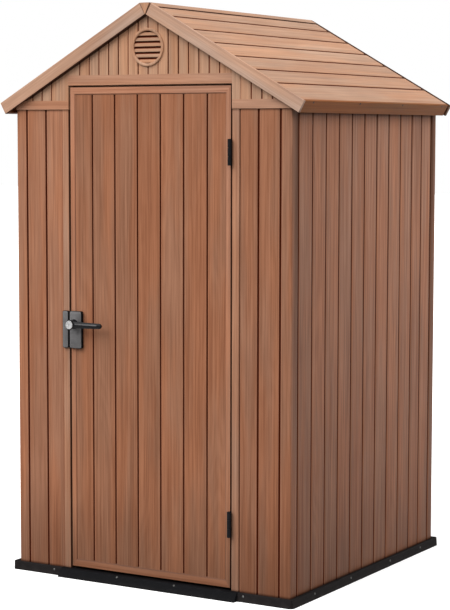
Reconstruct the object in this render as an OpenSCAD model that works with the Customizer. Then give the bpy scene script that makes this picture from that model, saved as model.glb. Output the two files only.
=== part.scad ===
// Plastic garden shed: a small gabled storage hut with a hinged, lever-latched door.
// Origin: centre of the wall footprint, on the ground. +X right as seen from the door, +Y to the back.

/* [Shell] */
// Outside width over the side walls
wall_w = 1136; // [1040:2:1500]
// Outside depth over the front and back walls
wall_d = 1146; // [900:2:1500]
// Height from the ground to the lower edge of the gables
gable_z = 1685; // [1600:5:1720]
// Height of a gable's upright edge, between its lower edge and the roof, at the side walls
gable_edge = 34; // [20:1:120]
// Thickness of the wall panels
wall_t = 20; // [16:1:30]
// Distance that each gable stands proud of the wall below it
gable_proud = 3; // [0:1:6]
// Width of a corner post's leg on the front and back walls
post_face = 44; // [30:1:80]
// Width of a front corner post's leg on the side wall
post_side = 50; // [35:1:80]
// Length of the rear panel of each side wall, without its corner post
rear_panel = 169; // [80:1:300]

/* [Roof] */
// Slope of the roof in degrees
roof_slope = 29.4; // [24:0.1:32]
// Thickness of the roof panels
roof_t = 20; // [14:1:30]
// Distance that the eaves reach beyond the side walls
eave_over = 57; // [45:1:90]
// Gap between the front gable and the front barge boards
front_gap = 9; // [7:1:50]
// Gap between the back gable and the back barge boards
back_gap = 1; // [1:1:50]
// Width of the flat on top of the ridge cap
ridge_flat = 44; // [30:1:70]
// Reach of the ridge cap's flanges down each slope
cap_reach = 56; // [40:1:90]
// Thickness of the ridge cap
cap_t = 5.5; // [4:0.5:10]
// Thickness of the barge boards and the eave boards
board_t = 10; // [6:1:14]
// Depth of the barge boards and the eave boards, square to the slope
board_deep = 45; // [35:1:80]

/* [Base] */
// Height of the floor panel
base_h = 28; // [20:1:60]
// Distance that the foot of the floor panel's skirt reaches beyond the walls
base_foot = 20; // [12:1:60]
// Distance that the top of the skirt reaches beyond the walls
base_lip = 16; // [8:1:18]
// Size of the chamfer on the corners of the floor panel
base_chamfer = 10; // [6:1:40]
// Length of the threshold ramp
ramp_w = 740; // [700:5:900]
// Distance that the foot of the threshold ramp reaches beyond the front wall
ramp_foot = 40; // [34:1:120]
// Thickness of the threshold ramp's foot
ramp_t = 3; // [2:0.5:6]

/* [Door] */
// Width of the door leaf
door_w = 664; // [560:1:700]
// Height of the door leaf
door_h = 1726; // [1690:1:1730]
// Thickness of the door leaf
door_t = 30; // [24:1:40]
// Gap between the door leaf and its frame, at the sides and top
door_gap = 5.5; // [5:0.5:8]
// Bevel that lets the leaf's latch edge swing clear of the jamb
edge_bevel = 3; // [0:0.5:6]
// Gap between the door leaf and the floor
floor_gap = 10; // [6:1:20]
// Width of the jambs beside the doorway
jamb_w = 28; // [24:1:40]
// Depth of the jambs behind the front wall's face
jamb_deep = 46; // [44:1:70]
// Distance that the jambs stand proud of the front wall
jamb_proud = 2; // [0:0.5:4]
// Height of the header above the doorway
header_h = 36; // [24:1:44]
// Overlap of the door stop behind the leaf's edge
stop_lap = 10; // [6:1:16]

/* [Hinges] */
// Radius of the hinge barrels
barrel_r = 10; // [7:0.5:14]
// Length of the hinge barrels
barrel_h = 90; // [60:1:140]
// Radius of the hinge pins
pin_r = 4; // [3:0.5:5]
// Distance of each hinge's middle from the nearer end of the leaf
hinge_inset = 225; // [120:5:400]
// Thickness of the hinge leaves
hinge_t = 2; // [1.5:0.25:2.25]
// Depth of the hinge leaves behind the front wall's face
hinge_deep = 26; // [16:1:28]

/* [Handle] */
// Width of the outer and inner handle plates
plate_w = 52; // [48:1:70]
// Height of the handle plates
plate_h = 134; // [90:1:180]
// Thickness of the handle plates
plate_t = 12; // [6:1:16]
// Width of the keeper plate on the jamb
keeper_w = 25; // [18:1:27]
// Distance of the inner plate from the leaf's edge
inner_in = 5; // [3:1:8]
// Corner radius of the plates
plate_round = 6; // [2:1:10]
// Distance of the spindle from the leaf's edge
spindle_in = 24; // [23:1:40]
// Height of the spindle above the middle of the leaf
spindle_up = 21; // [0:1:40]
// Radius of the spindle
spindle_r = 5; // [4:0.5:8]
// Radius of the lever's hub
hub_r = 18; // [14:0.5:22]
// Distance of the lock cylinder's face from the leaf
hub_out = 50; // [44:1:70]
// Radius of the lock cylinder's face
lock_r = 16; // [8:0.5:17]
// Thickness of the lock cylinder's face
lock_t = 3; // [2:0.5:5]
// Height left free above and below the inner handle plate
handle_clear = 10; // [6:1:30]
// Length of the lever from the spindle's axis to its tip
lever_len = 132; // [90:1:160]
// Thickness of the lever's arm
lever_t = 14; // [8:1:18]
// Height of the lever's arm where it leaves the hub
lever_root = 24; // [16:1:30]
// Height of the lever's arm at its tip
lever_tip = 15; // [10:1:16]

/* [Vents] */
// Outside radius of the round gable vents
vent_r = 66; // [40:1:70]
// Width of a vent's flange
vent_rim = 10; // [7:1:16]
// Thickness of a vent's flange
vent_t = 6; // [3:1:8]
// Thickness of the wall of a vent's sleeve
vent_wall = 3; // [2:0.5:5]
// Depth of a vent's middle below the line where the roof's slopes would meet
vent_drop = 164; // [150:1:200]
// Number of slats in a vent
slat_count = 6; // [3:1:8]
// Thickness of a slat
slat_t = 3; // [2:0.5:5]

/* [Fits] */
// Gap left where two pieces of the shell seat on each other
seat = 0.3; // [0.1:0.1:1]
// Running clearance on the radius of pins and spindles
run_fit = 0.08; // [0.02:0.01:0.1]
// Gap between the knuckles of a hinge, and between a hub and its rose
face_fit = 0.5; // [0.2:0.1:1]

/* [Hidden] */
$fn = 64;

brown = "#8a5a41";
dark_brown = "#75503c";
tan_brown = "#a06c4c";
black = "#26262a";
charcoal = "#3a3b40";
silver = "#b9bcc0";

// Outer faces of the walls
side_x = wall_w / 2;
front_y = -wall_d / 2;
back_y = wall_d / 2;
// Inner faces of the walls
inner_x = side_x - wall_t;
back_inner_y = back_y - wall_t;
// Side walls: where the corner posts and the rear panels begin
side_start_y = front_y + post_side;
post_back_y = back_y - post_face;
rear_start_y = post_back_y - rear_panel;

// Roof: its panels seat on the gables' edges, and the slopes would meet at apex_z, above the ridge
apex_z = gable_z + gable_edge + side_x * tan(roof_slope) + (roof_t + seat) / cos(roof_slope);
ridge_z = apex_z - ridge_flat / 2 * tan(roof_slope);
vent_z = apex_z - vent_drop;
slope_len = (side_x + eave_over) / cos(roof_slope);
panel_len = slope_len - board_t - seat;
panel_front_y = front_y - gable_proud - front_gap;
panel_back_y = back_y + gable_proud + back_gap;
roof_front_y = panel_front_y - board_t;
// Depth of the shoulder under the ridge cap's flanges
shoulder = cap_t + seat;

// Doorway
door_bottom_z = base_h + floor_gap;
door_top_z = door_bottom_z + door_h;
doorway_top_z = door_top_z + door_gap;
door_edge_x = door_w / 2;
doorway_x = door_edge_x + door_gap;
jamb_x = doorway_x + jamb_w;
door_middle_z = (door_bottom_z + door_top_z) / 2;
door_back_y = front_y + door_t;
header_back_y = front_y + jamb_deep;
stop_front_y = door_back_y + door_gap;
stop_x = door_edge_x - stop_lap;

// Hinges: the axis stands just clear of the wall's face, in line with the gap
hinge_x = door_edge_x + door_gap / 2;
hinge_y = front_y - jamb_proud - barrel_r - 1;
hinge_upper_z = door_top_z - hinge_inset;
hinge_lower_z = door_bottom_z + hinge_inset;
knuckle_h = barrel_h / 3;

// Handle
spindle_x = -door_edge_x + spindle_in;
spindle_z = door_middle_z + spindle_up;
rose_t = 5;
rose_r = hub_r + 1;
hub_back = plate_t + rose_t + face_fit;

// A point of the right-hand slope: s along it from the apex, d below its surface
function slope_point(s, d) = [
    s * cos(roof_slope) - d * sin(roof_slope),
    apex_z - s * sin(roof_slope) - d * cos(roof_slope)
];
// Height of the layer d below the roof's surface, above the point x
function layer_z(x, d) = apex_z - abs(x) * tan(roof_slope) - d / cos(roof_slope);

// Extrudes an outline drawn in X and Z along Y, from y_low to y_high
module along_y(y_low, y_high) {
    translate([0, y_high, 0]) rotate([90, 0, 0]) linear_extrude(y_high - y_low) children();
}

// Extrudes an outline drawn in Y and Z along X, from x_low to x_high
module along_x(x_low, x_high) {
    translate([x_low, 0, 0]) rotate([90, 0, 90]) linear_extrude(x_high - x_low) children();
}

// A box between two corners
module block(low, high) {
    translate(low) cube(high - low);
}

// Mirrors a right-hand piece to the left when side is -1
module on_side(side) {
    mirror([side < 0 ? 1 : 0, 0, 0]) children();
}

// Outline in X and Z of the roof layer below depth d, between two x positions, from z_low up
module under_roof(x_low, x_high, z_low, d) {
    polygon([
        [x_low, z_low], [x_high, z_low], [x_high, layer_z(x_high, d)], [x_low, layer_z(x_low, d)]
    ]);
}

// Floor panel: a tray whose skirt slopes out to the ground, with chamfered corners
module floor_panel() {
    foot_x = side_x + base_foot;
    foot_y = back_y + base_foot;
    color(black) intersection() {
        along_y(-foot_y, foot_y)
            polygon([
                [-foot_x, 0], [foot_x, 0],
                [side_x + base_lip, base_h], [-side_x - base_lip, base_h]
            ]);
        along_x(-foot_x, foot_x)
            polygon([
                [-foot_y, 0], [foot_y, 0],
                [back_y + base_lip, base_h], [-back_y - base_lip, base_h]
            ]);
        linear_extrude(base_h) polygon([
            [-foot_x + base_chamfer, -foot_y], [foot_x - base_chamfer, -foot_y],
            [foot_x, -foot_y + base_chamfer], [foot_x, foot_y - base_chamfer],
            [foot_x - base_chamfer, foot_y], [-foot_x + base_chamfer, foot_y],
            [-foot_x, foot_y - base_chamfer], [-foot_x, -foot_y + base_chamfer]
        ]);
    }
}

// Threshold ramp: a wedge that lies over the skirt in front of the doorway
module threshold_ramp() {
    top_z = base_h + ramp_t;
    color(black) along_x(-ramp_w / 2, ramp_w / 2) polygon([
        [front_y - ramp_foot, 0], [front_y - base_foot - seat, 0],
        [front_y - base_lip - seat, base_h + seat], [front_y - jamb_proud - seat, base_h + seat],
        [front_y - jamb_proud - seat, top_z], [front_y - base_lip - ramp_t, top_z],
        [front_y - ramp_foot, ramp_t]
    ]);
}

// Front corner post: an angle below the gable, and its side leg carried up to the roof
module corner_post_front(side) {
    color(tan_brown) on_side(side) {
        block([side_x - post_face, front_y, base_h], [side_x, front_y + wall_t, gable_z]);
        block([inner_x, front_y, base_h], [side_x, side_start_y, gable_z]);
        along_y(front_y + wall_t, side_start_y) under_roof(inner_x, side_x, gable_z - 1, roof_t + seat);
    }
}

// Back corner post: the same angle with equal legs
module corner_post_back(side) {
    color(dark_brown) on_side(side) {
        block([side_x - post_face, back_inner_y, base_h], [side_x, back_y, gable_z]);
        block([inner_x, post_back_y, base_h], [side_x, back_y, gable_z]);
        along_y(post_back_y, back_inner_y) under_roof(inner_x, side_x, gable_z - 1, roof_t + seat);
    }
}

// Panel of the front wall between the corner post and the jamb
module front_wall(side) {
    color(brown) on_side(side)
        block([jamb_x, front_y, base_h], [side_x - post_face, front_y + wall_t, gable_z]);
}

// Panel of a side wall, with its top edge cut to the roof's slope
module side_wall(side, y_low, y_high) {
    color(dark_brown) on_side(side)
        along_y(y_low, y_high) under_roof(inner_x, side_x, base_h, roof_t + seat);
}

// Half of the back wall
module back_wall(side) {
    color(dark_brown) on_side(side)
        block([0, back_inner_y, base_h], [side_x - post_face, back_y, gable_z]);
}

// Jamb: a post beside the doorway, with a stop behind the leaf; it steps back behind the gable.
// The stop on the latch side is cut away around the inner handle plate.
module door_jamb(side) {
    cut_half = plate_h / 2 + handle_clear;
    color(tan_brown) on_side(side) difference() {
        union() {
            block([doorway_x, front_y - jamb_proud, base_h], [jamb_x, front_y + wall_t, gable_z]);
            block([doorway_x, front_y + wall_t, base_h], [jamb_x, header_back_y, doorway_top_z]);
            block([stop_x, stop_front_y, base_h], [jamb_x, header_back_y, doorway_top_z]);
        }
        if (side < 0)
            block(
                [stop_x - 1, stop_front_y - 1, door_middle_z - cut_half],
                [doorway_x, header_back_y + 1, door_middle_z + cut_half]
            );
    }
}

// Header: a rail behind the gable, on the jambs, with a stop behind the top of the leaf
module door_header() {
    stop_z = door_top_z - stop_lap;
    top_z = doorway_top_z + header_h;
    color(tan_brown) {
        block([-jamb_x, front_y + wall_t, doorway_top_z], [jamb_x, header_back_y, top_z]);
        block([-stop_x, stop_front_y, stop_z], [stop_x, header_back_y, top_z]);
    }
}

// Gable plate between two faces, with its sloped edges under the roof and a hole for the vent
module gable(y_low, y_high) {
    difference() {
        along_y(y_low, y_high) polygon([
            [-side_x, gable_z], [side_x, gable_z], [side_x, layer_z(side_x, roof_t + seat)],
            [0, layer_z(0, roof_t + seat)], [-side_x, layer_z(side_x, roof_t + seat)]
        ]);
        translate([0, y_high + 1, vent_z]) rotate([90, 0, 0])
            cylinder(h = y_high - y_low + 2, r = vent_r - vent_rim + vent_wall + seat);
    }
}

// Front gable: the plate is notched for the top of the doorway
module gable_front() {
    color(tan_brown) difference() {
        gable(front_y - gable_proud, front_y + wall_t);
        block(
            [-doorway_x, front_y - gable_proud - 1, gable_z - 1],
            [doorway_x, front_y + wall_t + 1, doorway_top_z]
        );
    }
}

module gable_back() {
    color(tan_brown) gable(back_inner_y, back_y + gable_proud);
}

// Vent: a flange outside the gable, a sleeve through it and sloping slats; drawn facing -Y at y = 0
module vent() {
    opening_r = vent_r - vent_rim;
    sleeve = wall_t + gable_proud;
    pitch = 2 * opening_r / slat_count;
    rotate([90, 0, 0]) difference() {
        union() {
            cylinder(h = vent_t, r = vent_r);
            translate([0, 0, -sleeve]) cylinder(h = sleeve + 1, r = opening_r + vent_wall);
        }
        translate([0, 0, -sleeve - 1]) cylinder(h = sleeve + vent_t + 2, r = opening_r);
    }
    intersection() {
        translate([0, sleeve, 0]) rotate([90, 0, 0]) cylinder(h = sleeve + vent_t, r = opening_r + 1);
        for (i = [0 : slat_count - 1])
            translate([0, 2, (i - (slat_count - 1) / 2) * pitch]) rotate([40, 0, 0])
                cube([2 * vent_r, pitch, slat_t], center = true);
    }
}

module vent_front() {
    color(tan_brown) translate([0, front_y - gable_proud, vent_z]) vent();
}

module vent_back() {
    color(tan_brown) translate([0, back_y + gable_proud, vent_z]) rotate([0, 0, 180]) vent();
}

// Roof panel: a slab down one slope, with a shoulder under the ridge cap
module roof_panel(side) {
    shoulder_z = ridge_z - shoulder;
    color(tan_brown) on_side(side) along_y(panel_front_y + seat, panel_back_y - seat) polygon([
        slope_point(cap_reach + seat, 0), slope_point(panel_len, 0), slope_point(panel_len, roof_t),
        [seat / 2, layer_z(seat / 2, roof_t)], [seat / 2, shoulder_z],
        slope_point((apex_z - shoulder_z - shoulder * cos(roof_slope)) / sin(roof_slope), shoulder),
        slope_point(cap_reach + seat, shoulder)
    ]);
}

// Ridge cap: a folded strip over both panels, with a keystone at each end between the barge boards
module ridge_cap() {
    flat_x = ridge_flat / 2;
    under_z = ridge_z - cap_t;
    under_s = (apex_z - under_z - cap_t * cos(roof_slope)) / sin(roof_slope);
    flank = slope_point(cap_reach, 0);
    edge = slope_point(cap_reach, cap_t);
    bend = slope_point(under_s, cap_t);
    key_low = ridge_z - (flat_x - seat) / tan(roof_slope);
    color(tan_brown) {
        along_y(panel_front_y, panel_back_y) polygon([
            [-flank.x, flank.y], [-flat_x, ridge_z], [flat_x, ridge_z], flank,
            edge, bend, [-bend.x, bend.y], [-edge.x, edge.y]
        ]);
        for (y = [roof_front_y, panel_back_y])
            along_y(y, y + board_t) intersection() {
                polygon([[-flat_x + seat, ridge_z], [0, key_low], [flat_x - seat, ridge_z]]);
                polygon([
                    [-side_x, layer_z(side_x, board_deep)], [0, layer_z(0, board_deep)],
                    [side_x, layer_z(side_x, board_deep)], [side_x, ridge_z + 1], [-side_x, ridge_z + 1]
                ]);
            }
    }
}

// Barge board: it closes a roof panel's end and hangs below it, cut square at the eave and the ridge
module barge_board(side, y_low) {
    top_s = ridge_flat / 2 / cos(roof_slope);
    color(tan_brown) on_side(side) along_y(y_low, y_low + board_t) intersection() {
        polygon([
            slope_point(top_s, 0), slope_point(slope_len, 0),
            slope_point(slope_len, board_deep), slope_point(top_s, board_deep)
        ]);
        translate([seat / 2, 0]) square([slope_len, apex_z]);
    }
}

// Eave board: it closes a roof panel's lower edge and hangs below it, square to the slope
module eave_board(side) {
    inner_s = slope_len - board_t;
    color(brown) on_side(side) along_y(panel_front_y + seat, panel_back_y - seat) polygon([
        slope_point(inner_s, 0), slope_point(slope_len, 0),
        slope_point(slope_len, board_deep), slope_point(inner_s, board_deep)
    ]);
}

// Rounded plate, drawn facing -Y with its back at y = 0 and its lower left corner at the origin
module rounded_plate(w, h, t) {
    r = plate_round;
    rotate([90, 0, 0]) linear_extrude(t) {
        translate([r, 0]) square([w - 2 * r, h]);
        translate([0, r]) square([w, h - 2 * r]);
        for (x = [r, w - r], z = [r, h - r])
            translate([x, z]) circle(r = r);
    }
}

// Keeper plate on the latch jamb, in line with the handle plate
module keeper_plate() {
    color(charcoal)
        translate([-doorway_x - keeper_w, front_y - jamb_proud, door_middle_z - plate_h / 2])
        rounded_plate(keeper_w, plate_h, plate_t - jamb_proud);
}

// Hinge leaf in the gap: a plate against the edge that it is fixed to, from x_low to x_low + hinge_t
module hinge_plate(x_low, z_low, z_high, knuckle_z) {
    block([x_low, hinge_y + barrel_r + face_fit, z_low], [x_low + hinge_t, front_y + hinge_deep, z_high]);
    for (z = knuckle_z)
        block(
            [x_low, hinge_y, z],
            [x_low + hinge_t, hinge_y + barrel_r + face_fit + 1, z + knuckle_h - face_fit]
        );
}

// Frame half of a hinge: two end knuckles, the pin between them and the plate on the jamb
module hinge_frame(z_middle) {
    low = z_middle - barrel_h / 2;
    color(black) {
        hinge_plate(doorway_x - hinge_t, low, low + barrel_h, [low, low + 2 * knuckle_h + face_fit]);
        translate([hinge_x, hinge_y, low]) {
            cylinder(h = knuckle_h - face_fit, r = barrel_r);
            cylinder(h = barrel_h, r = pin_r);
            translate([0, 0, 2 * knuckle_h + face_fit])
                cylinder(h = knuckle_h - face_fit, r = barrel_r);
        }
    }
}

// Door half of a hinge: the middle knuckle, bored for the pin, and the plate on the leaf's edge
module hinge_door(z_middle) {
    low = z_middle - barrel_h / 2;
    middle = low + knuckle_h;
    color(black) difference() {
        union() {
            hinge_plate(door_edge_x, low, low + barrel_h, [middle + face_fit / 2]);
            translate([hinge_x, hinge_y, middle]) cylinder(h = knuckle_h, r = barrel_r);
        }
        translate([hinge_x, hinge_y, low - 1]) cylinder(h = barrel_h + 2, r = pin_r + run_fit);
    }
}

// Bore for the spindle, through everything between two y positions
module spindle_bore(y_low, y_high) {
    translate([spindle_x, y_high, spindle_z]) rotate([90, 0, 0])
        cylinder(h = y_high - y_low, r = spindle_r + run_fit);
}

// Door leaf, with its latch edge bevelled towards the inside
module door_leaf() {
    color(brown) difference() {
        translate([0, 0, door_bottom_z]) linear_extrude(door_h) polygon([
            [-door_edge_x, front_y], [door_edge_x, front_y],
            [door_edge_x, door_back_y], [-door_edge_x + edge_bevel, door_back_y]
        ]);
        spindle_bore(front_y - 1, door_back_y + 1);
    }
}

// Handle plate with its rose, drawn facing -Y with its back on the leaf's outer face
module handle_plate(x_low) {
    translate([x_low, front_y, door_middle_z - plate_h / 2])
        rounded_plate(plate_w, plate_h, plate_t);
    translate([spindle_x, front_y - plate_t + 1, spindle_z]) rotate([90, 0, 0])
        cylinder(h = rose_t + 1, r = rose_r);
}

module handle_plate_outer() {
    color(charcoal) difference() {
        handle_plate(-door_edge_x);
        spindle_bore(front_y - plate_t - rose_t - 1, front_y + 1);
    }
}

// Faces a piece of the outer handle inwards, on the leaf's inner face
module turned_in() {
    translate([0, front_y + door_back_y, 0]) mirror([0, 1, 0]) children();
}

module handle_plate_inner() {
    color(charcoal) difference() {
        turned_in() handle_plate(-door_edge_x + inner_in);
        spindle_bore(door_back_y - 1, door_back_y + plate_t + rose_t + 1);
    }
}

module handle_spindle() {
    color(silver) translate([spindle_x, door_back_y + hub_back, spindle_z]) rotate([90, 0, 0])
        cylinder(h = door_t + 2 * hub_back, r = spindle_r);
}

// Lever: a round hub and a tapered arm flush with its outer face
module lever() {
    hub_front = hub_out - lock_t;
    tip_x = lever_len - lever_tip / 2;
    translate([spindle_x, front_y, spindle_z]) rotate([90, 0, 0]) {
        translate([0, 0, hub_back]) cylinder(h = hub_front - hub_back, r = hub_r);
        translate([0, 0, hub_front - lever_t]) linear_extrude(lever_t) {
            polygon([
                [0, -lever_root / 2], [tip_x, -lever_tip / 2], [tip_x, lever_tip / 2], [0, lever_root / 2]
            ]);
            translate([tip_x, 0]) circle(r = lever_tip / 2);
        }
    }
}

module lever_outer() {
    color(charcoal) lever();
}

module lever_inner() {
    color(charcoal) turned_in() lever();
}

// Lock cylinder: a round face on the end of the outer hub
module lock_cylinder() {
    color(silver) translate([spindle_x, front_y - hub_out + lock_t, spindle_z]) rotate([90, 0, 0])
        cylinder(h = lock_t, r = lock_r);
}

floor_panel();
threshold_ramp();
corner_post_front(-1);  // corner_post_front_left
corner_post_front(1);  // corner_post_front_right
corner_post_back(-1);  // corner_post_back_left
corner_post_back(1);  // corner_post_back_right
front_wall(-1);  // front_wall_left
front_wall(1);  // front_wall_right
side_wall(-1, side_start_y, rear_start_y);  // left_wall_front
side_wall(-1, rear_start_y, post_back_y);  // left_wall_rear
side_wall(1, side_start_y, rear_start_y);  // right_wall_front
side_wall(1, rear_start_y, post_back_y);  // right_wall_rear
back_wall(-1);  // back_wall_left
back_wall(1);  // back_wall_right
door_jamb(-1);  // door_jamb_left
door_jamb(1);  // door_jamb_right
door_header();
gable_front();
gable_back();
vent_front();
vent_back();
roof_panel(-1);  // roof_panel_left
roof_panel(1);  // roof_panel_right
ridge_cap();
barge_board(-1, roof_front_y);  // barge_board_front_left
barge_board(1, roof_front_y);  // barge_board_front_right
barge_board(-1, panel_back_y);  // barge_board_back_left
barge_board(1, panel_back_y);  // barge_board_back_right
eave_board(-1);  // eave_board_left
eave_board(1);  // eave_board_right
keeper_plate();
hinge_frame(hinge_upper_z);  // hinge_frame_upper
hinge_frame(hinge_lower_z);  // hinge_frame_lower
door_leaf();
hinge_door(hinge_upper_z);  // hinge_door_upper
hinge_door(hinge_lower_z);  // hinge_door_lower
handle_plate_outer();
handle_plate_inner();
handle_spindle();
lever_outer();
lever_inner();
lock_cylinder();
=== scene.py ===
"""Looks of a small plastic garden shed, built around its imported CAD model.

Metres, Z up; -Y is the way the door faces. Positions come from the boxes of the CAD nodes. The sizes named below
are those of the moulded detail that the CAD leaves out: grooves, bevels, ribs, slats, screws.
"""

import math
import random
from bisect import bisect

import bmesh
import bpy
import numpy as np
from mathutils import Matrix, Vector


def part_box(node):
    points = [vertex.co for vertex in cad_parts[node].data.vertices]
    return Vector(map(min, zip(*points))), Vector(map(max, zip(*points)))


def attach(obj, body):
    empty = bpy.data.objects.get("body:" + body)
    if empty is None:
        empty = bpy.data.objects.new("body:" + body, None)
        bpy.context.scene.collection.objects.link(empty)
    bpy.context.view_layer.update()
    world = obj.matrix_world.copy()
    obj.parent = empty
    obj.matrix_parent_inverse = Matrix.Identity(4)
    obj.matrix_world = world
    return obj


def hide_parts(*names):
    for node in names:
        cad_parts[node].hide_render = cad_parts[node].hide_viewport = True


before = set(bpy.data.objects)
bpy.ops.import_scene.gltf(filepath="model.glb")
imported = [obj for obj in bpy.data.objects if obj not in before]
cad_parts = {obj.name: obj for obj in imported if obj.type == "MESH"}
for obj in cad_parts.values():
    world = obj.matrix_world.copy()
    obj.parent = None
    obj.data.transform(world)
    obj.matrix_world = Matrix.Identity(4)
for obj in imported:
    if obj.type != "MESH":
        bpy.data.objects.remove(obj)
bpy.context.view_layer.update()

MM = 0.001
X, Y, Z = (1, 0, 0), (0, 1, 0), (0, 0, 1)
SIDES = {1: "right", -1: "left"}


def mm(*sizes):
    return [size * MM for size in sizes]


# ---------------------------------------------------------------- sizes of the moulded detail
# Groove between two boards: distances from its middle, and depths below the face there
GROOVE_AT = mm(0, 2.1, 2.6, 3.1, 4.6, 6.4, 7.0)
GROOVE_DEEP = mm(6, 6, 3, 1.5, 0.6, 0, 0)
# Shallow groove on the inside of a panel
INNER_AT = mm(0, 3.5, 6, 6.6)
INNER_DEEP = mm(1.5, 1.5, 0, 0)
SUPPORT = 0.4 * MM  # distance of the extra points that keep an edge's shading or colour off the flat beside it
SEAT, FACE_FIT = mm(0.3, 0.5)
ROOF_T, RIDGE_FLAT, CAP_REACH, CAP_T, BOARD_DEEP = mm(20, 44, 56, 5.5, 45)
ROOF_GROOVE = 124 * MM  # distance of the first groove down the slope from the apex line
ROOF_PITCH = 94 * MM
HEADER_BAND = 36 * MM  # smooth band above the door

# ---------------------------------------------------------------- sizes read from the CAD nodes
post_low, post_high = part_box("corner_post_front_right")
wall_low, wall_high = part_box("front_wall_right")
leaf_low, leaf_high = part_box("door_leaf")
jamb_low, jamb_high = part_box("door_jamb_right")
header_low, header_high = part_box("door_header")
gable_low, gable_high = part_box("gable_front")
gable_back_low, gable_back_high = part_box("gable_back")
rear_low, rear_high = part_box("right_wall_rear")
roof_low, roof_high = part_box("roof_panel_right")
barge_low, barge_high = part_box("barge_board_front_right")
eave_low, eave_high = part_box("eave_board_right")
cap_low, cap_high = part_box("ridge_cap")
SIDE_X, FRONT_Y, BACK_Y = post_high.x, post_low.y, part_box("back_wall_right")[1].y
POST_X, JAMB_X = wall_high.x, wall_low.x
BASE_Z, GABLE_Z, EAVE_Z = wall_low.z, wall_high.z, eave_low.z
WALL_T = wall_high.y - wall_low.y
INNER_X = SIDE_X - WALL_T
SIDE_START_Y, REAR_START_Y, POST_BACK_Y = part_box("right_wall_front")[0].y, rear_low.y, rear_high.y
TAN = (gable_high.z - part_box("corner_post_back_right")[1].z) / INNER_X
SLOPE = math.atan(TAN)
COS, SIN = math.cos(SLOPE), math.sin(SLOPE)
RIDGE_Z = cap_high.z
APEX_Z = RIDGE_Z + RIDGE_FLAT / 2 * TAN
SLOPE_LEN = eave_high.x / COS
BOARD_T = barge_high.y - barge_low.y
DOORWAY_X, DOORWAY_TOP = -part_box("keeper_plate")[1].x, header_high.z - HEADER_BAND


def layer_z(x, depth):
    """Height of the layer of the roof that far below its surface."""
    return APEX_Z - abs(x) * TAN - depth / COS


def slope_at(x, z):
    """(distance down the slope from the apex line, distance out of its surface) of a point seen from the front."""
    return x * COS - (z - APEX_Z) * SIN, x * SIN + (z - APEX_Z) * COS


def even(low, high, count):
    """Positions that split low to high into equal boards, the two ends left out."""
    return [low + (high - low) * i / count for i in range(1, count)]


# ---------------------------------------------------------------- places and boards
class Place:
    """Axes of a surface: across its boards, along their grain, and out of its face."""

    def __init__(self, origin, across, along, out):
        self.origin = Vector(origin)
        self.axes = [Vector(axis).normalized() for axis in (across, along, out)]

    def at(self, u, v, n=0.0):
        across, along, out = self.axes
        return self.origin + across * u + along * v + out * n

    def local(self, point):
        away = point - self.origin
        return [away.dot(axis) for axis in self.axes]


def facing(out, at, lengthways=False):
    """A surface that faces the front (-1) or the back (1), with its grain upright or lengthways."""
    return Place(at, *((Z, X) if lengthways else (X, Z)), (0, out, 0))


def slope_place(side):
    """A slope of the roof, with its boards across it."""
    return Place((0, 0, APEX_Z), (side * COS, 0, -SIN), Y, (side * SIN, 0, COS))


def number(name, index=0):
    """A board's own number, which its tint and its grain come from."""
    return random.Random(f"{name} {index}").uniform(0, 100)


class Boards:
    """A row of moulded boards: the grooves between them, as (distance across, share of the full depth)."""

    def __init__(self, name, seams, thickness, wide=1.0):
        self.name, self.thickness = name, thickness
        self.groove_at = [wide * at for at in GROOVE_AT]
        self.seams = sorted(seam if isinstance(seam, tuple) else (seam, 1.0) for seam in seams)
        self.edges = [at for at, _ in self.seams]

    def depth(self, u):
        depths = (share * float(np.interp(abs(u - at), self.groove_at, GROOVE_DEEP)) for at, share in self.seams)
        return max(depths, default=0.0)

    def inner_depth(self, u):
        return max((float(np.interp(abs(u - at), INNER_AT, INNER_DEEP)) for at in self.edges), default=0.0)

    def number(self, u, v):
        return number(self.name, bisect(self.edges, u))

    def groove(self, u, v, n):
        """How deep in an outer groove a point is, as a share."""
        return self.depth(u) / GROOVE_DEEP[0] if n > -self.thickness / 2 else 0.0

    def stops(self, low, high, distances):
        found = {low, high} | {at + way * d for at in self.edges for d in distances for way in (-1, 1)}
        kept = []
        for u in sorted(u for u in found if low - 1e-6 <= u <= high + 1e-6):
            if not kept or u - kept[-1] > 1e-5:
                kept.append(u)
        return kept

    def outline(self, low, high, sunk=0.0, bevel=0.0):
        """Outline of the panel, seen along its boards, as (across, out) points."""
        outer = [(u, -sunk - self.depth(u)) for u in self.stops(low, high, self.groove_at)]
        inner = [(u, self.inner_depth(u) - self.thickness) for u in self.stops(low + bevel, high, INNER_AT)]
        return outer + inner[::-1]


# ---------------------------------------------------------------- shapes
def lofted(rings, closed=False):
    """A solid through rings of points: the last ring joins the first where closed, or else both are capped."""
    bm = bmesh.new()
    rings = [[bm.verts.new(point) for point in ring] for ring in rings]
    for low, high in zip(rings, rings[1:] + rings[: int(closed)]):
        for k in range(len(low)):
            m = (k + 1) % len(low)
            bm.faces.new((low[k], low[m], high[m], high[k]))
    for ring in () if closed else (rings[0], rings[-1]):
        bm.faces.new(ring)
    return bm


def sweep(to_point, outline, levels):
    """A solid: an outline swept through levels, each of which may depend on the outline's point."""
    return lofted([[to_point(a, b, level(a, b) if callable(level) else level) for a, b in outline] for level in levels])


def prism(place, outline, *levels):
    """An outline of (across, out) points, swept along the grain."""
    return sweep(lambda u, n, v: place.at(u, v, n), outline, levels)


def plate(place, outline, *levels):
    """An outline of (across, along) points, swept out of the face."""
    return sweep(place.at, outline, levels)


def rectangle(low_a, low_b, high_a, high_b):
    return [(low_a, low_b), (high_a, low_b), (high_a, high_b), (low_a, high_b)]


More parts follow.
